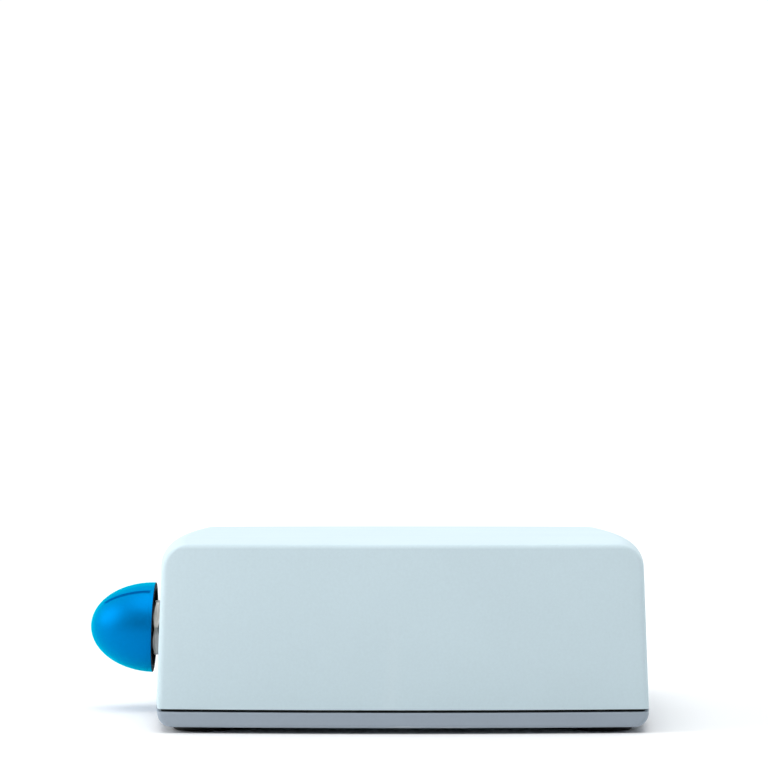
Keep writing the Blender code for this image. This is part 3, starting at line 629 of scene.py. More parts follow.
def bar(
    name: str, radius: float, low: float, high: float, axis: Matrix, steps: int = 32
) -> bpy.types.Object:
    """Makes a plain round bar, for cutting and joining.

    Args:
        name: The object's name.
        radius: The bar's radius.
        low: Where it starts along the axis.
        high: Where it ends.
        axis: The axis, as the matrix that takes its local Z there.
        steps: How many facets go round.

    Returns:
        The bar.
    """
    return loft(name, [circle(radius, height, axis, steps) for height in (low, high)])


def block(name: str, low: Triple, high: Triple, axis: Matrix) -> bpy.types.Object:
    """Makes a plain block, for cutting and joining.

    Args:
        name: The object's name.
        low: Its lowest corner.
        high: Its highest corner.
        axis: The matrix that places it.

    Returns:
        The block.
    """
    outline = ((low[0], low[1]), (high[0], low[1]), (high[0], high[1]), (low[0], high[1]))
    return loft(name, [[axis @ Vector((x, y, z)) for x, y in outline] for z in (low[2], high[2])])


def work(target: bpy.types.Object, joining: Joining, *tools: bpy.types.Object) -> bpy.types.Object:
    """Works solids into another one, which takes their place.

    Args:
        target: The solid that stays.
        joining: Whether the tools are added or cut away.
        tools: The solids that are used up.

    Returns:
        The target, with its new mesh.
    """
    for tool in tools:
        modifier = target.modifiers.new("work", "BOOLEAN")
        modifier.operation = joining.value
        modifier.object = tool
        modifier.solver = "EXACT"
        depsgraph = bpy.context.evaluated_depsgraph_get()
        mesh = bpy.data.meshes.new_from_object(target.evaluated_get(depsgraph))
        target.modifiers.clear()
        spent = target.data
        target.data = mesh
        bpy.data.meshes.remove(spent)
        bpy.data.objects.remove(tool)
    return smoothed(target)


def upright(x: float, y: float) -> Matrix:
    """Returns the axis that stands straight up through a point on the floor."""
    return Matrix.Translation((x, y, 0.0))


def axis_matrix(origin: Sequence[float], direction: Sequence[float]) -> Matrix:
    """Places local Z along a direction.

    Args:
        origin: A point on the axis.
        direction: The way it points.

    Returns:
        The matrix.
    """
    turn = Vector((0.0, 0.0, 1.0)).rotation_difference(Vector(direction))
    return Matrix.Translation(origin) @ turn.to_matrix().to_4x4()


def evenly(first: float, last: float, spans: int) -> list[float]:
    """Returns values spread evenly from the first to the last, both included."""
    return [first + (last - first) * i / spans for i in range(spans + 1)]


def middle(node: str) -> Vector:
    """Returns the middle of a node's box."""
    low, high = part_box(node)
    return (low + high) / 2


class SubAssembly:
    """Pieces that are made and finished together."""

    def finish_piece(
        self, obj: bpy.types.Object, slot: Slot, body: Body, *nodes: str
    ) -> bpy.types.Object:
        """Finishes a new piece and puts it in place of the nodes that it stands for.

        Args:
            obj: The piece.
            slot: The material slot that its finish comes from.
            body: The body that it rides on.
            nodes: The nodes that it replaces.

        Returns:
            The piece.
        """
        obj.data.materials.clear()
        obj.data.materials.append(FINISHES[slot].material(slot.value))
        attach(obj, body.value)
        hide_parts(*nodes)
        LOG.info("made %s (%d faces)", obj.name, len(obj.data.polygons))
        return obj

    def dress(self, slot: Slot, *nodes: str) -> None:
        """Gives nodes that keep their shape a finish.

        Args:
            slot: The material slot that the finish comes from.
            nodes: The nodes.
        """
        for name in nodes:
            obj = frame["nodes"][name]
            obj.data.materials.clear()
            obj.data.materials.append(FINISHES[slot].material(slot.value))
            smoothed(obj)
            LOG.info("dressed %s in %s", name, slot.value)


# ---------------------------------------------------------------- housing


@dataclass(frozen=True)
class Post:
    """A screw post on the tray's floor: its radius, its bore's radius and the height of its top."""

    radius: float
    bore: float
    top: float


BRACKET_POST = Post(0.0040, 0.0016, 0.0070)
BOARD_POST = Post(0.0030, 0.0014, 0.0078)


@dataclass
class Housing(SubAssembly):
    """The cover, the base tray, the seal between them, the feet and the screws through them."""

    bow_radius: float = 0.590
    corner: float = 0.0014
    draft: float = math.radians(2.0)
    roll: float = 0.0063
    top_fillet: float = 0.0012
    base_roll: float = 0.0033
    base_fillet: float = 0.0006
    edge: float = 0.0001
    edge_margin: float = 0.0008
    wall: float = 0.0025
    top_thickness: float = 0.0026
    inner_fillet: float = 0.0010
    cover_post: float = 0.0040
    cover_post_end: float = 0.0079
    rib_half: float = 0.0008
    rib_span: Pair = (0.012, 0.038)
    thread_span: Pair = (0.006, 0.0185)
    floor_top: float = 0.0035
    rooted: float = 0.0004
    lip_top: float = 0.0080
    lip_width: float = 0.0016
    seal_setback: float = 0.0009
    seal_slack: float = 0.0001
    seal_groove: float = 0.00012
    post_place: float = 0.050
    rib_reach: float = 0.0595
    pad_radius: float = 0.0092
    pad_top: float = 0.0052
    tray_post: float = 0.0055
    tray_post_top: float = 0.0076
    bore_start: float = 0.0042
    above_tray: float = 0.010
    foot_radius: float = 0.0075
    foot_height: float = 0.0033
    foot_web: float = 0.0022
    screw_hole: float = 0.00165
    side_steps: int = 20
    corner_steps: int = 6

    def __post_init__(self) -> None:
        """Reads the housing's place and overall size from the frame."""
        self.base_low, self.base_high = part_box("base_plate")
        self.cover_low, self.cover_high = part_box("top_cover")
        self.base_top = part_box("seam_gasket")[0].z - self.seal_slack
        self.centre = (self.base_low + self.base_high) / 2
        self.half_side = (self.base_high.x - self.base_low.x) / 2

    def wall_half(self, z: float, inset: float = 0.0) -> float:
        """Returns half the cover across its drafted walls at a height."""
        return self.half_side - inset - (z - self.cover_low.z) * math.tan(self.draft)

    def bow_drop(self, distance: float) -> float:
        """Returns how far a bowed wall falls back at this distance from its middle."""
        return self.bow_radius - math.sqrt(self.bow_radius**2 - distance**2)

    def section(self, half_x: float, half_y: float, z: float, corner: float | None = None) -> Ring:
        """Draws a level rectangle with bowed sides and rounded corners.

        Args:
            half_x: Half its length, at the middles of its sides.
            half_y: Half its width, at the middles of its sides.
            z: Its height.
            corner: How far the rounding reaches from each corner.

        Returns:
            Its points, anticlockwise.
        """
        corner = corner or self.corner
        end_x, end_y = half_x, half_y
        for _ in range(12):
            end_x, end_y = half_x - self.bow_drop(end_y), half_y - self.bow_drop(end_x)
        start = Vector((half_x - self.bow_drop(end_y - corner), end_y - corner))
        stop = Vector((end_x - corner, half_y - self.bow_drop(end_x - corner)))
        peak = Vector((end_x, end_y))
        side = [Vector((half_x - self.bow_drop(y), y)) for y in evenly(0.0, start.y, self.side_steps)[:-1]]
        bend = [
            (1 - t) ** 2 * start + 2 * t * (1 - t) * peak + t**2 * stop
            for t in evenly(0.0, 1.0, self.corner_steps)
        ]
        back = [Vector((x, half_y - self.bow_drop(x))) for x in evenly(stop.x, 0.0, self.side_steps)[1:]]
        quarter = [*side, *bend, *back]
        rear_left = [Vector((-p.x, p.y)) for p in reversed(quarter[:-1])]
        front_left = [Vector((-p.x, -p.y)) for p in quarter[1:]]
        front_right = [Vector((p.x, -p.y)) for p in reversed(quarter[1:-1])]
        outline = (*quarter, *rear_left, *front_left, *front_right)
        return [Vector((self.centre.x + p.x, self.centre.y + p.y, z)) for p in outline]

    def corners(self) -> Iterable[tuple[str, float, float]]:
        """Goes round the housing's corners.

        Yields:
            Each corner's name, and the place of its screw in X and Y.
        """
        for depth, y in (("front", -self.post_place), ("rear", self.post_place)):
            for side, x in (("left", -self.post_place), ("right", self.post_place)):
                yield f"{depth}_{side}", self.centre.x + x, self.centre.y + y

    def cover_rings(
        self, bottom: float, top: float, inset: float, roll: float, fillet: float
    ) -> list[Ring]:
        """Draws the drafted walls that roll into a flat top.

        Args:
            bottom: Height of the lowest ring.
            top: Height of the flat top.
            inset: How far inside the outer surface the form lies.
            roll: Radius of the left and right edges.
            fillet: Radius of the front and rear edges.

        Returns:
            The rings, from the bottom up.
        """
        corner = self.corner if inset == 0.0 else 2 * self.corner
        edge = self.edge if inset == 0.0 else 0.0
        rings = []
        for turn in evenly(0.0, math.pi / 2, 3) if edge else [math.pi / 2]:
            z = bottom + edge * (1 - math.cos(turn))
            half = self.wall_half(z, inset) - edge * (1 - math.sin(turn))
            rings.append(self.section(half, half, z, corner))
        centre_z = top - roll
        tangent_z = centre_z + roll * math.sin(self.draft)
        centre_x = self.wall_half(tangent_z, inset) - roll * math.cos(self.draft)
        support = self.wall_half(tangent_z - 2 * fillet, inset)
        rings.append(self.section(support, support, tangent_z - 2 * fillet, corner))
        fillet_start = math.asin((roll - fillet) / roll)
        turns = evenly(self.draft, fillet_start, 8)[:-1] + evenly(fillet_start, math.pi / 2, 14)
        for turn in turns:
            z = centre_z + roll * math.sin(turn)
            rise = max(0.0, z - (top - fillet))
            drop = fillet - math.sqrt(max(0.0, fillet**2 - rise**2))
            half_y = self.wall_half(min(z, top - fillet), inset) - drop
            rings.append(self.section(centre_x + roll * math.cos(turn), half_y, z, corner))
        rings.append(self.section(centre_x - self.edge_margin, half_y - self.edge_margin, top, corner))
        return rings

    def build_cover(self, *bores: bpy.types.Object) -> None:
        """Makes the cover: a thin shell with screw posts and ribs, open at the bottom.

        Args:
            bores: Solids to cut through its side walls.
        """
        bottom, top = self.cover_low.z, self.cover_high.z
        ceiling = top - self.top_thickness
        inner_roll = self.roll - self.wall
        rings = self.cover_rings(bottom - PAST, ceiling, self.wall, inner_roll, self.inner_fillet)
        hollow = loft("hollow", rings)
        for _, x, y in self.corners():
            axis = upright(x, y)
            post = bar("post", self.cover_post, self.cover_post_end, ceiling + PAST / 2, axis)
            reach = self.centre.x + math.copysign(self.rib_reach, x - self.centre.x)
            inner, outer = sorted((x, reach))
            low, high = self.rib_span
            rib = block("rib", (inner, y - self.rib_half, low), (outer, y + self.rib_half, high), Matrix())
            work(hollow, Joining.CUT, post, rib)
            work(hollow, Joining.ADD, bar("bore", self.screw_hole, *self.thread_span, axis))
        work(hollow, Joining.ADD, *bores)
        cover = loft("cover_shell", self.cover_rings(bottom, top, 0.0, self.roll, self.top_fillet))
        work(cover, Joining.CUT, hollow)
        self.finish_piece(cover, Slot.COVER, Body.HOUSING, "top_cover")

    def build_base(self) -> None:
        """Makes the base tray, with its lip, its posts and the seats for the feet."""
        low, half = self.base_low.z, self.half_side
        rings = []
        for turn in evenly(0.0, math.pi / 2, 12):
            z = low + self.base_roll * (1 - math.cos(turn))
            fall = max(0.0, self.base_fillet - (z - low))
            drop = self.base_fillet - math.sqrt(self.base_fillet**2 - fall**2)
            rings.append(self.section(half - self.base_roll * (1 - math.sin(turn)), half - drop, z))
        for turn in evenly(0.0, math.pi / 2, 3):
            z = self.base_top - self.edge * (1 - math.sin(turn))
            inset = self.edge * (1 - math.cos(turn))
            rings.append(self.section(half - inset, half - inset, z))
        base = loft("base_tray", rings)
        outer = half - self.wall - GAP
        inner = outer - self.lip_width
        work(base, Joining.ADD, self.prism("lip", outer, self.floor_top, self.lip_top))
        work(base, Joining.CUT, self.prism("pocket", inner, self.floor_top, self.above_tray))
        root = self.floor_top - self.rooted
        for _, x, y in self.corners():
            axis = upright(x, y)
            pad = bar("pad", self.pad_radius, root, self.pad_top, axis)
            work(base, Joining.ADD, pad, bar("post", self.tray_post, root, self.tray_post_top, axis))
            seat = bar("seat", self.foot_radius + 2 * GAP, 0.0, self.foot_height + GAP, axis, steps=48)
            work(base, Joining.CUT, seat, bar("bore", self.screw_hole, 0.0, self.above_tray, axis))
        for node, post in self.inner_posts():
            place = middle(node)
            axis = upright(place.x, place.y)
            work(base, Joining.ADD, bar("post", post.radius, root, post.top, axis))
            work(base, Joining.CUT, bar("bore", post.bore, self.bore_start, self.above_tray, axis))
        self.finish_piece(base, Slot.BASE, Body.HOUSING, "base_plate")

    def inner_posts(self) -> Iterable[tuple[str, Post]]:
        """Goes through the screws that stand on the tray's floor.

        Yields:
            Each screw's node, with its post.
        """
        for name, _, _ in self.corners():
            yield f"bracket_screw_{name}", BRACKET_POST
        for i in range(1, 5):
            yield f"board_screw_{i}", BOARD_POST

    def prism(self, name: str, half: float, low: float, high: float) -> bpy.types.Object:
        """Makes an upright solid on the housing's outline.

        Args:
            name: The object's name.
            half: Half its width.
            low: Height of its underside.
            high: Height of its top.

        Returns:
            The solid.
        """
        return loft(name, [self.section(half, half, z, 2 * self.corner) for z in (low, high)])

    def build_seal(self) -> None:
        """Makes the rubber seal in the seam, with a shallow groove round its outer face."""
        low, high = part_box("seam_gasket")
        outer = self.half_side - self.seal_setback
        inner = self.half_side - self.wall
        groove = self.seal_groove
        levels = (
            (low.z, 0.0),
            (low.z + groove, 0.0),
            ((low.z + high.z) / 2, groove),
            (high.z - groove, 0.0),
            (high.z, 0.0),
        )
        rings = [self.section(outer - inset, outer - inset, z) for z, inset in levels]
        rings += [self.section(inner, inner, z, 2 * self.corner) for z in (high.z, low.z)]
        seal = loft("seam_seal", rings, looped=True)
        self.finish_piece(seal, Slot.RUBBER, Body.HOUSING, "seam_gasket")

    def build_feet(self) -> None:
        """Makes the rubber feet and the screws that hold them and join the base to the cover."""
        web = self.foot_web
        profile = rounded(
            [
                (self.screw_hole, self.foot_height, 0.0002),
                (self.foot_radius, self.foot_height, 0.0002),
                (self.foot_radius, 0.0, 0.0008),
                (0.0036, 0.0, 0.0003),
                (0.0032, 0.0010, 0.0004),
                (0.0032, web, 0.0002),
                (self.screw_hole, web, 0.0001),
            ],
            looped=True,
        )
        for name, x, y in self.corners():
            axis = upright(x, y)
            foot = turned(f"rubber_foot_{name}", profile, axis, looped=True)
            self.finish_piece(foot, Slot.RUBBER, Body.HOUSING, f"foot_{name}")
            low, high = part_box(f"base_screw_{name}")
            screw = pan_screw(f"cross_screw_{name}", axis, low.z, web - GAP, high.z)
            self.finish_piece(screw, Slot.STEEL, Body.HOUSING, f"base_screw_{name}")


def pan_screw(name: str, axis: Matrix, crown: float, bearing: float, tip: float) -> bpy.types.Object:
    """Makes a cross-head screw that hangs head down.

    Args:
        name: The object's name.
        axis: The screw's axis.
        crown: Height of the head's outer face.
        bearing: Height of the face that bears on the work.
        tip: Height of the shank's end.

    Returns:
        The screw, with a real cross recess and thread ridges.
    """
    head, flat, dome, shank = 0.0028, 0.0020, 0.0008, 0.00135
    pitch, thread, plain = 0.0006, 0.00025, 0.0008
    profile = rounded(
        [
            (0.0, crown, 0.0),
            (flat, crown, dome),
            (head, crown + dome, dome / 2),
            (head, bearing, 0.0001),
            (shank, bearing, 0.0),
        ]
    )
    turns = int((tip - bearing - PAST) / pitch)
    for i in range(turns):
        z = bearing + plain + i * pitch
        profile += [(shank - thread, z), (shank, z + pitch / 2)]
    profile += [(shank - thread, tip - shank), (0.0, tip)]
    screw = turned(name, profile, axis, steps=36)
    arm, half, depth = 0.0016, 0.00036, 0.0009
    for x, y in ((arm, half), (half, arm)):
        work(screw, Joining.CUT, block("recess", (-x, -y, crown - depth), (x, y, crown + depth), axis))
    return screw


# ---------------------------------------------------------------- speed control


@dataclass
class SpeedControl(SubAssembly):
    """The half-egg knob and what holds its potentiometer on the left wall."""

    length: float = 0.0170
    radius: float = 0.01195
    back: float = 0.0026
    shell: float = 0.0017
    rear_edge: float = 0.00020
    hub_radius: float = 0.0068
    hub_end: float = 0.0034
    rim: float = 0.0011
    rim_line: float = 0.00003
    # share of the half-egg inside which the hollow back is painted near-black as painted shade
    painted_shade_shell: float = 0.93
    pointer_angle: float = math.radians(35.0)
    pointer_first: float = math.radians(38.0)
    pointer_last: float = math.radians(87.0)
    pointer_half: float = 0.00056
    pointer_depth: float = 0.00050
    pointer_flank: float = 0.35
    pointer_margin: float = math.radians(14)
    bore_radius: float = 0.00315
    bore_flat: float = 0.00165
    bore_end: float = 0.0172
    across_flats: float = 0.0140
    nut_span: Pair = (0.0007, 0.0027)
    washer_radius: float = 0.0074
    washer_span: Pair = (0.0001, 0.0006)
    bushing_radius: float = 0.00465
    bushing_bore: float = 0.0031
    bushing_end: float = 0.0031
    bushing_back: float = -0.0042
    bushing_flange: float = 0.0082
    thread_pitch: float = 0.00060
    thread_depth: float = 0.00030
    thread_ridges: int = 9
    turn_steps: int = 96

    def __post_init__(self) -> None:
        """Reads the knob's axis from the frame's joint."""
        joint = next(joint for joint in frame["joints"] if joint["name"] == "knob_turn")
        self.axis = axis_matrix(joint["pos_m"], joint["axis"])

    def wall_bore(self) -> bpy.types.Object:
        """Returns the solid that cuts the bushing's hole through the wall."""
        return bar("knob_bore", self.bushing_radius + GAP, *WALL_CUT, self.axis)

    def meridians(self) -> list[Pair]:
        """Lists the lines that run from tip to rim, close together beside the pointer.

        Returns:
            An even angle from the pointer, and a distance beside it, for each line.
        """
        beside = (0.0, 0.35, 0.6, 0.8, 0.92, 1.0, 1.12, 1.6, 2.4)
        near = [(0.0, sign * step * self.pointer_half) for sign in (-1, 1) for step in beside if step]
        near = sorted([*near, (0.0, 0.0)], key=lambda line: line[1])
        margin = self.pointer_margin
        far = [(angle, 0.0) for angle in evenly(margin, TAU - margin, self.turn_steps)]
        return [*near, *far]

    def least_radius(self) -> float:
        """Returns the radius inside which the lines beside the pointer draw together."""
        return self.radius * math.sin(self.pointer_first - math.radians(4))

    def knob_ring(self, radius: float, height: float, outer_turn: float | None = None) -> Ring:
        """Lays one ring of the knob, sunk where the pointer's groove crosses it.

        Args:
            radius: The ring's radius.
            height: Its place along the axis.
            outer_turn: For a ring on the outside, its place along the half-egg, from the tip.

        Returns:
            The ring's points.
        """
        slope = math.pi / 2 if outer_turn is None else outer_turn
        outward = Vector((math.sin(slope) / self.radius, math.cos(slope) / self.length)).normalized()
        ring = []
        for angle, beside in self.meridians():
            turn = angle - self.pointer_angle + beside / max(radius, self.least_radius())
            depth = 0.0
            if outer_turn is not None and angle == 0.0:
                depth = self.groove_depth(outer_turn, abs(beside))
            across, along = radius - depth * outward.x, height - depth * outward.y
            ring.append(self.axis @ Vector((across * math.cos(turn), across * math.sin(turn), along)))
        return ring

    def groove_depth(self, turn: float, beside: float) -> float:
        """Gives the pointer groove's depth.

        Args:
            turn: Place along the half-egg, from the tip.
            beside: Distance from the groove's middle.

        Returns:
            The depth.
        """
        if not self.pointer_first <= turn <= self.pointer_last:
            return 0.0
        share = min(1.0, max(0.0, (1.0 - beside / self.pointer_half) / self.pointer_flank))
        taper = math.radians(3.5)
        ends = min(1.0, (turn - self.pointer_first) / taper, (self.pointer_last - turn) / (taper / 2))
        return self.pointer_depth * math.sin(math.pi / 2 * share) * math.sqrt(max(0.0, ends))

    def build_knob(self) -> None:
        """Makes the knob: half-egg, thin line before the rim, hollow back darkened with painted shade, hub
        and D-shaped bore.
        """
        rim_turn = math.acos(self.rim / self.length)
        last = math.acos(self.rear_edge / self.length)
        entry = self.pointer_first + 0.07
        fine = math.radians(1.1)
        turns = evenly(0.0, self.pointer_first, 16)[:-1]
        turns += evenly(self.pointer_first, entry, 5)[:-1]
        turns += evenly(entry, rim_turn - fine, 26)
        levels = [(t, 0.0) for t in turns]
        levels += [(rim_turn - fine / 3, 0.0), (rim_turn, self.rim_line), (rim_turn + fine / 3, 0.0)]
        levels += [(t, 0.0) for t in evenly(rim_turn + fine, last, 4)]
        rings = [
            self.knob_ring(self.radius * math.sin(t) - sunk, self.back + self.length * math.cos(t), t)
            for t, sunk in levels
        ]
        edge = self.rear_edge
        for turn in evenly(0.0, math.pi / 2, 4)[1:]:
            inset, along = edge * (1 - math.cos(turn)), edge * (1 - math.sin(turn))
            rings.append(self.knob_ring(self.radius - inset, self.back + along))
        length, radius = self.length - 1.3 * self.shell, self.radius - self.shell
        hub_turn = math.asin(self.hub_radius / radius)
        for turn in evenly(math.pi / 2, hub_turn, 12):
            rings.append(self.knob_ring(radius * math.sin(turn), self.back + length * math.cos(turn)))
        rings.append(self.knob_ring(self.hub_radius, self.hub_end))
        rings += [self.bore_ring(height) for height in (self.hub_end, self.bore_end)]
        knob = loft("knob_shell", rings)
        self.finish_piece(knob, Slot.KNOB, Body.KNOB, "speed_knob")
        # The rear rim and the inside of the hollow back take a near-black finish: painted shade where the
        # hollow lies in shadow.
        knob.data.materials.append(KNOB_PAINTED_SHADE.material("knob_painted_shade"))
        painted_shade_start = self.back + self.rear_edge / 2
        inverse = self.axis.inverted()
        for face in knob.data.polygons:
            place = inverse @ face.center
            along = (place.z - self.back) / self.length
            shell = math.hypot(place.x / self.radius, place.y / self.radius, along)
            face.material_index = int(place.z < painted_shade_start or shell < self.painted_shade_shell)

    def bore_ring(self, height: float) -> Ring:
        """Lays one ring of the D-shaped bore.

        Args:
            height: Its place along the axis.

        Returns:
            The ring's points.
        """
        ring = []
        for angle, beside in self.meridians():
            turn = angle - self.pointer_angle + beside / self.least_radius()
            rise = math.sin(turn)
            reach = min(self.bore_radius, self.bore_flat / rise) if rise > 0 else self.bore_radius
            ring.append(self.axis @ Vector((reach * math.cos(turn), reach * math.sin(turn), height)))
        return ring

    def build_nut(self) -> None:
        """Makes the chamfered hexagon nut that holds the potentiometer."""
        bore = self.bushing_radius + GAP
        nut = hex_nut("bright_nut", self.across_flats, bore, self.nut_span, self.axis)
        self.finish_piece(nut, Slot.NICKEL, Body.HOUSING, "pot_nut")

    def build_washer(self) -> None:
        """Makes the plain washer under the nut."""
        inner, outer, edge = self.bushing_radius + GAP, self.washer_radius, 0.0001
        low, high = self.washer_span
        corners = [(inner, high, edge), (outer, high, edge), (outer, low, edge), (inner, low, edge)]
        washer = turned("bright_washer", rounded(corners, looped=True), self.axis, steps=72, looped=True)
        self.finish_piece(washer, Slot.NICKEL, Body.HOUSING, "pot_washer")

    def build_bushing(self) -> None:
        """Makes the potentiometer's threaded bushing, which stands through the wall."""
        behind, back, end = -Housing.wall - GAP, self.bushing_back, self.bushing_end
        root, edge = self.bushing_radius - self.thread_depth, 0.0002
        profile = [(self.bushing_bore, end), (root, end)]
        for i in range(self.thread_ridges):
            ridge = end - self.thread_depth - i * self.thread_pitch
            profile += [(self.bushing_radius, ridge), (root, ridge - self.thread_pitch / 2)]
        profile += rounded(
            [
                (root, behind, 0.0),
                (self.bushing_flange, behind, edge),
                (self.bushing_flange, back, edge),
                (self.bushing_bore, back, 0.0),
            ]
        )
        bushing = turned("threaded_bushing", profile, self.axis, steps=72, looped=True)
        self.finish_piece(bushing, Slot.NICKEL, Body.HOUSING, "pot_bushing")

    def dress_inside(self) -> None:
        """Finishes the potentiometer's shaft, can and wafer."""
        self.dress(Slot.STEEL, "pot_shaft")
        self.dress(Slot.ZINC, "pot_can")
        self.dress(Slot.PHENOLIC, "pot_wafer")


def hex_nut(name: str, across: float, bore: float, span: Pair, axis: Matrix) -> bpy.types.Object:
    """Makes a hexagon nut with coned ends and a countersunk bore, one corner towards local -Y.

    Args:
        name: The object's name.
        across: Width across flats.
        bore: Radius of the hole.
        span: Where it starts and ends along the axis.
        axis: The nut's axis.

    Returns:
        The nut.
    """
    low, high = span
    steps = 24 * 6
    flat, cone, sink = across / 2, 0.00055, 0.0003
    slope, bevel = 0.55, 0.0001
    levels = evenly(0.0, cone, 8)
    outer = [(low + rise, rise) for rise in levels] + [(high - rise, rise) for rise in reversed(levels)]
    rings = []
    for height, rise in outer:
        ring = []
        for i in range(steps):
            turn = TAU * i / steps
            folded = (turn + math.pi / 2) % math.radians(60) - math.radians(30)
            reach = min(flat / math.cos(folded), flat - bevel + rise / slope)
            place = Vector((reach * math.cos(turn), reach * math.sin(turn), height))
            ring.append(axis @ place)
        rings.append(ring)
    wide = bore + sink
    for radius, height in ((wide, high), (bore, high - sink), (bore, low + sink), (wide, low)):
        rings.append(circle(radius, height, axis, steps))
    return loft(name, rings, looped=True)


# ---------------------------------------------------------------- supply socket


@dataclass
class SupplySocket(SubAssembly):
    """The round low-voltage socket in the right wall."""

    height: float = 0.0200
    radius: float = 0.0049
    bore: float = 0.0031
    mouth: float = 0.0057
    flange: float = 0.0062
    shoulder: Pair = (0.0002, 0.0008)
    face: float = 0.0014
    depth: float = 0.0130
    pocket: float = 0.0105
    tail_bore: float = 0.0013
    pin_radius: float = 0.0010
    pin_span: Pair = (-0.0150, -0.0008)
    nut_flats: float = 0.0130
    nut_span: Pair = (-0.0050, -0.0029)

    def place(self, housing: Housing) -> None:
        """Sets the socket's axis square to the housing's right wall.

        Args:
            housing: The housing that it stands in.
        """
        origin = (housing.centre.x + housing.wall_half(self.height), housing.centre.y, self.height)
        self.axis = axis_matrix(origin, (math.cos(housing.draft), 0.0, math.sin(housing.draft)))

    def wall_bore(self) -> bpy.types.Object:
        """Returns the solid that cuts the socket's hole through the wall."""
        return bar("jack_bore", self.radius + GAP, *WALL_CUT, self.axis)

    def build_body(self) -> None:
        """Makes the socket's moulded body, with a countersunk mouth and a rounded flange."""
        seat, shoulder = self.shoulder
        profile = rounded(
            [
                (self.bore, self.face, 0.0004),
                (self.mouth, self.face, 0.0003),
                (self.flange, shoulder, 0.0003),
                (self.flange, seat, 0.0001),
                (self.radius, seat, 0.0),
                (self.radius, -self.depth, 0.0003),
                (self.tail_bore, -self.depth, 0.0),
                (self.tail_bore, -self.pocket, 0.0),
                (self.bore, -self.pocket, 0.0),
            ],
            looped=True,
        )
        body = turned("socket_body", profile, self.axis, steps=72, looped=True)
        self.finish_piece(body, Slot.BLACK, Body.HOUSING, "dc_jack")

    def build_pin(self) -> None:
        """Makes the socket's centre pin, with a domed end."""
        radius = self.pin_radius
        tail, tip = self.pin_span
        profile = rounded([(0.0, tip, 0.0), (radius, tip, 0.0006), (radius, tail, 0.0002), (0.0, tail, 0.0)])
        pin = turned("centre_pin", profile, self.axis, steps=32)
        self.finish_piece(pin, Slot.NICKEL, Body.HOUSING, "jack_pin")

    def build_nut(self) -> None:
        """Makes the nut that holds the socket from inside."""
        nut = hex_nut("socket_nut", self.nut_flats, self.radius + GAP, self.nut_span, self.axis)
        self.finish_piece(nut, Slot.NICKEL, Body.HOUSING, "jack_nut")


# ---------------------------------------------------------------- drive and electronics


@dataclass
class Drive(SubAssembly):
    """The motor on its rubber-mounted bracket, and the rotor that carries the magnets."""

    corners: tuple[str, ...] = ("front_left", "front_right", "rear_left", "rear_right")

    def dress_motor(self) -> None:
        """Finishes the motor's fixed pieces and its bracket."""
        self.dress(Slot.ZINC, "motor_can", "motor_bracket")
        self.dress(Slot.BLACK, "motor_end_bell")
        self.dress(Slot.BRONZE, "front_bush", "rear_bush")
        self.dress(Slot.FERRITE, "stator_magnet_north", "stator_magnet_south")
        self.dress(Slot.STEEL, "motor_screw_left", "motor_screw_right")
        self.dress(Slot.STEEL, *(f"bracket_screw_{name}" for name in self.corners))
        self.dress(Slot.RUBBER, *(f"grommet_{name}" for name in self.corners))

    def dress_rotor(self) -> None:
        """Finishes everything that spins."""
        self.dress(Slot.STEEL, "motor_shaft", "armature", "back_iron", "carrier_grub_screw")
        self.dress(Slot.COPPER, "commutator")
        self.dress(Slot.NYLON, "magnet_carrier")
        self.dress(Slot.MAGNET, "drive_magnet_north", "drive_magnet_south")


@dataclass
class Electronics(SubAssembly):
    """The control board, what stands on it, and the leads to it."""

    screws: int = 4

    def dress_board(self) -> None:
        """Finishes the board, its parts and its screws."""
        self.dress(Slot.BOARD, "control_board")
        self.dress(Slot.BLACK, "driver_chip", "smoothing_capacitor")
        self.dress(Slot.NYLON, "lead_header")
        self.dress(Slot.STEEL, *(f"board_screw_{i + 1}" for i in range(self.screws)))

    def dress_leads(self) -> None:
        """Finishes the leads inside the housing."""
        self.dress(Slot.RED_WIRE, "motor_lead_positive", "supply_lead_positive")
        self.dress(Slot.BLACK_WIRE, "motor_lead_negative", "supply_lead_negative")
        self.dress(Slot.GREY_CABLE, "pot_cable")


# ---------------------------------------------------------------- studio


@dataclass(frozen=True)
class Lamp:
    """A soft lamp, far away."""

    name: str
    way: Triple
    spread: float
    strength: float

    def hang(self, colour: Triple) -> None:
        """Puts the lamp in the scene.

        Args:
            colour: The light's colour.
        """
        lamp = bpy.data.lights.new(self.name, "SUN")
        lamp.energy = self.strength
        lamp.angle = math.radians(self.spread)
        lamp.color = colour
        obj = bpy.data.objects.new(self.name, lamp)
        obj.rotation_mode = "QUATERNION"
        obj.rotation_quaternion = Vector(self.way).to_track_quat("-Z", "Y")
        bpy.context.scene.collection.objects.link(obj)


LAMPS = (
    Lamp("lamp_above", (0.0, 0.35, -1.0), 55, 1.62),
    Lamp("lamp_left", (1.0, 0.22, -0.45), 45, 1.45),
)


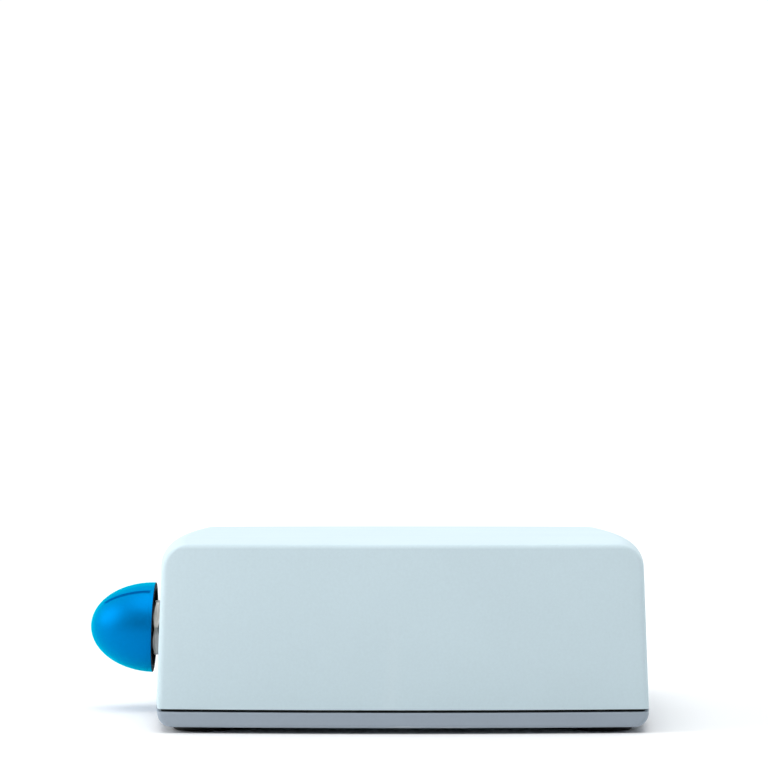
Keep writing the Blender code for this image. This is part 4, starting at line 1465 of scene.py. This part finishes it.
@dataclass
class Studio:
    """The pale floor, the soft lights and the camera."""

    lens: float = 145.4
    distance: float = 0.828
    eye_height: float = 0.0796
    eye_shift: float = -0.0047
    pitch: float = math.radians(0.501)
    sensor: float = 36.0
    front_glow: float = 0.30
    low_glow: float = 0.02
    rear_glow: float = 1.07
    rise_span: Pair = (0.12, 0.60)
    depth_span: Pair = (-0.5, 0.5)
    floor_tones: tuple[Triple, Triple] = ((0.89, 0.895, 0.90), (0.91, 0.915, 0.92))
    cool: Triple = (0.975, 1.0, 1.03)
    warm: Triple = (1.02, 1.0, 0.98)
    floor_half: float = 6.0

    def lay_floor(self) -> None:
        """Lays the plain floor."""
        half = self.floor_half
        corners = [(-half, -half, 0.0), (half, -half, 0.0), (half, half, 0.0), (-half, half, 0.0)]
        mesh = bpy.data.meshes.new("studio_floor")
        mesh.from_pydata(corners, [], [(0, 1, 2, 3)])
        floor = bpy.data.objects.new("studio_floor", mesh)
        bpy.context.scene.collection.objects.link(floor)
        graph = Graph("studio_floor")
        tone = graph.blend(graph.noise(0.4, detail=2.0), *self.floor_tones)
        graph.feed(graph.shader.inputs["Base Color"], tone)
        graph.shader.inputs["Roughness"].default_value = 0.7
        graph.shader.inputs["Specular IOR Level"].default_value = 0.2
        floor.data.materials.append(graph.material)

    def light(self) -> None:
        """Lights the scene with a bright backdrop behind and the soft lamps above and on the left."""
        world = bpy.data.worlds.new("studio")
        world.use_nodes = True
        nodes, links = world.node_tree.nodes, world.node_tree.links
        direction = nodes.new("ShaderNodeTexCoord").outputs["Generated"]
        split = nodes.new("ShaderNodeSeparateXYZ")
        links.new(direction, split.inputs[0])
        front, back = (nodes.new("ShaderNodeMapRange") for _ in range(2))
        for node, axis, limits in (
            (front, "Z", (*self.rise_span, self.low_glow, self.front_glow)),
            (back, "Y", (*self.depth_span, 0.0, self.rear_glow)),
        ):
            node.interpolation_type = "SMOOTHSTEP"
            for key, value in zip(("From Min", "From Max", "To Min", "To Max"), limits):
                node.inputs[key].default_value = value
            links.new(split.outputs[axis], node.inputs["Value"])
        links.new(front.outputs[0], back.inputs["To Min"])
        seen = nodes.new("ShaderNodeMix")
        links.new(nodes.new("ShaderNodeLightPath").outputs["Is Camera Ray"], seen.inputs[0])
        links.new(back.outputs[0], seen.inputs[2])
        seen.inputs[3].default_value = self.rear_glow
        links.new(seen.outputs[0], nodes["Background"].inputs["Strength"])
        nodes["Background"].inputs["Color"].default_value = (*self.cool, 1.0)
        bpy.context.scene.world = world
        for lamp in LAMPS:
            lamp.hang(self.warm)

    def aim_camera(self, centre: Vector) -> None:
        """Stands the camera in front, a little above the platform.

        Args:
            centre: The middle of the housing.
        """
        camera = bpy.data.objects.new("camera", bpy.data.cameras.new("camera"))
        camera.data.lens = self.lens
        camera.data.sensor_width = self.sensor
        camera.data.clip_start = 0.01
        camera.location = (centre.x + self.eye_shift, centre.y - self.distance, self.eye_height)
        camera.rotation_euler = (math.pi / 2 + self.pitch, 0.0, 0.0)
        bpy.context.scene.collection.objects.link(camera)
        bpy.context.scene.camera = camera
        bpy.context.scene.view_settings.view_transform = "Standard"


def main() -> None:
    """Builds every sub-assembly in order, then sets up the studio."""
    logging.basicConfig(level=logging.INFO, format="%(name)s: %(message)s")
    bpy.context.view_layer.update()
    housing = Housing()
    control = SpeedControl()
    socket = SupplySocket()
    socket.place(housing)
    housing.build_cover(control.wall_bore(), socket.wall_bore())
    housing.build_base()
    housing.build_seal()
    housing.build_feet()
    control.build_knob()
    control.build_nut()
    control.build_washer()
    control.build_bushing()
    control.dress_inside()
    socket.build_body()
    socket.build_pin()
    socket.build_nut()
    drive = Drive()
    drive.dress_motor()
    drive.dress_rotor()
    electronics = Electronics()
    electronics.dress_board()
    electronics.dress_leads()
    studio = Studio()
    studio.lay_floor()
    studio.light()
    studio.aim_camera(housing.centre)


if __name__ == "__main__":
    main()
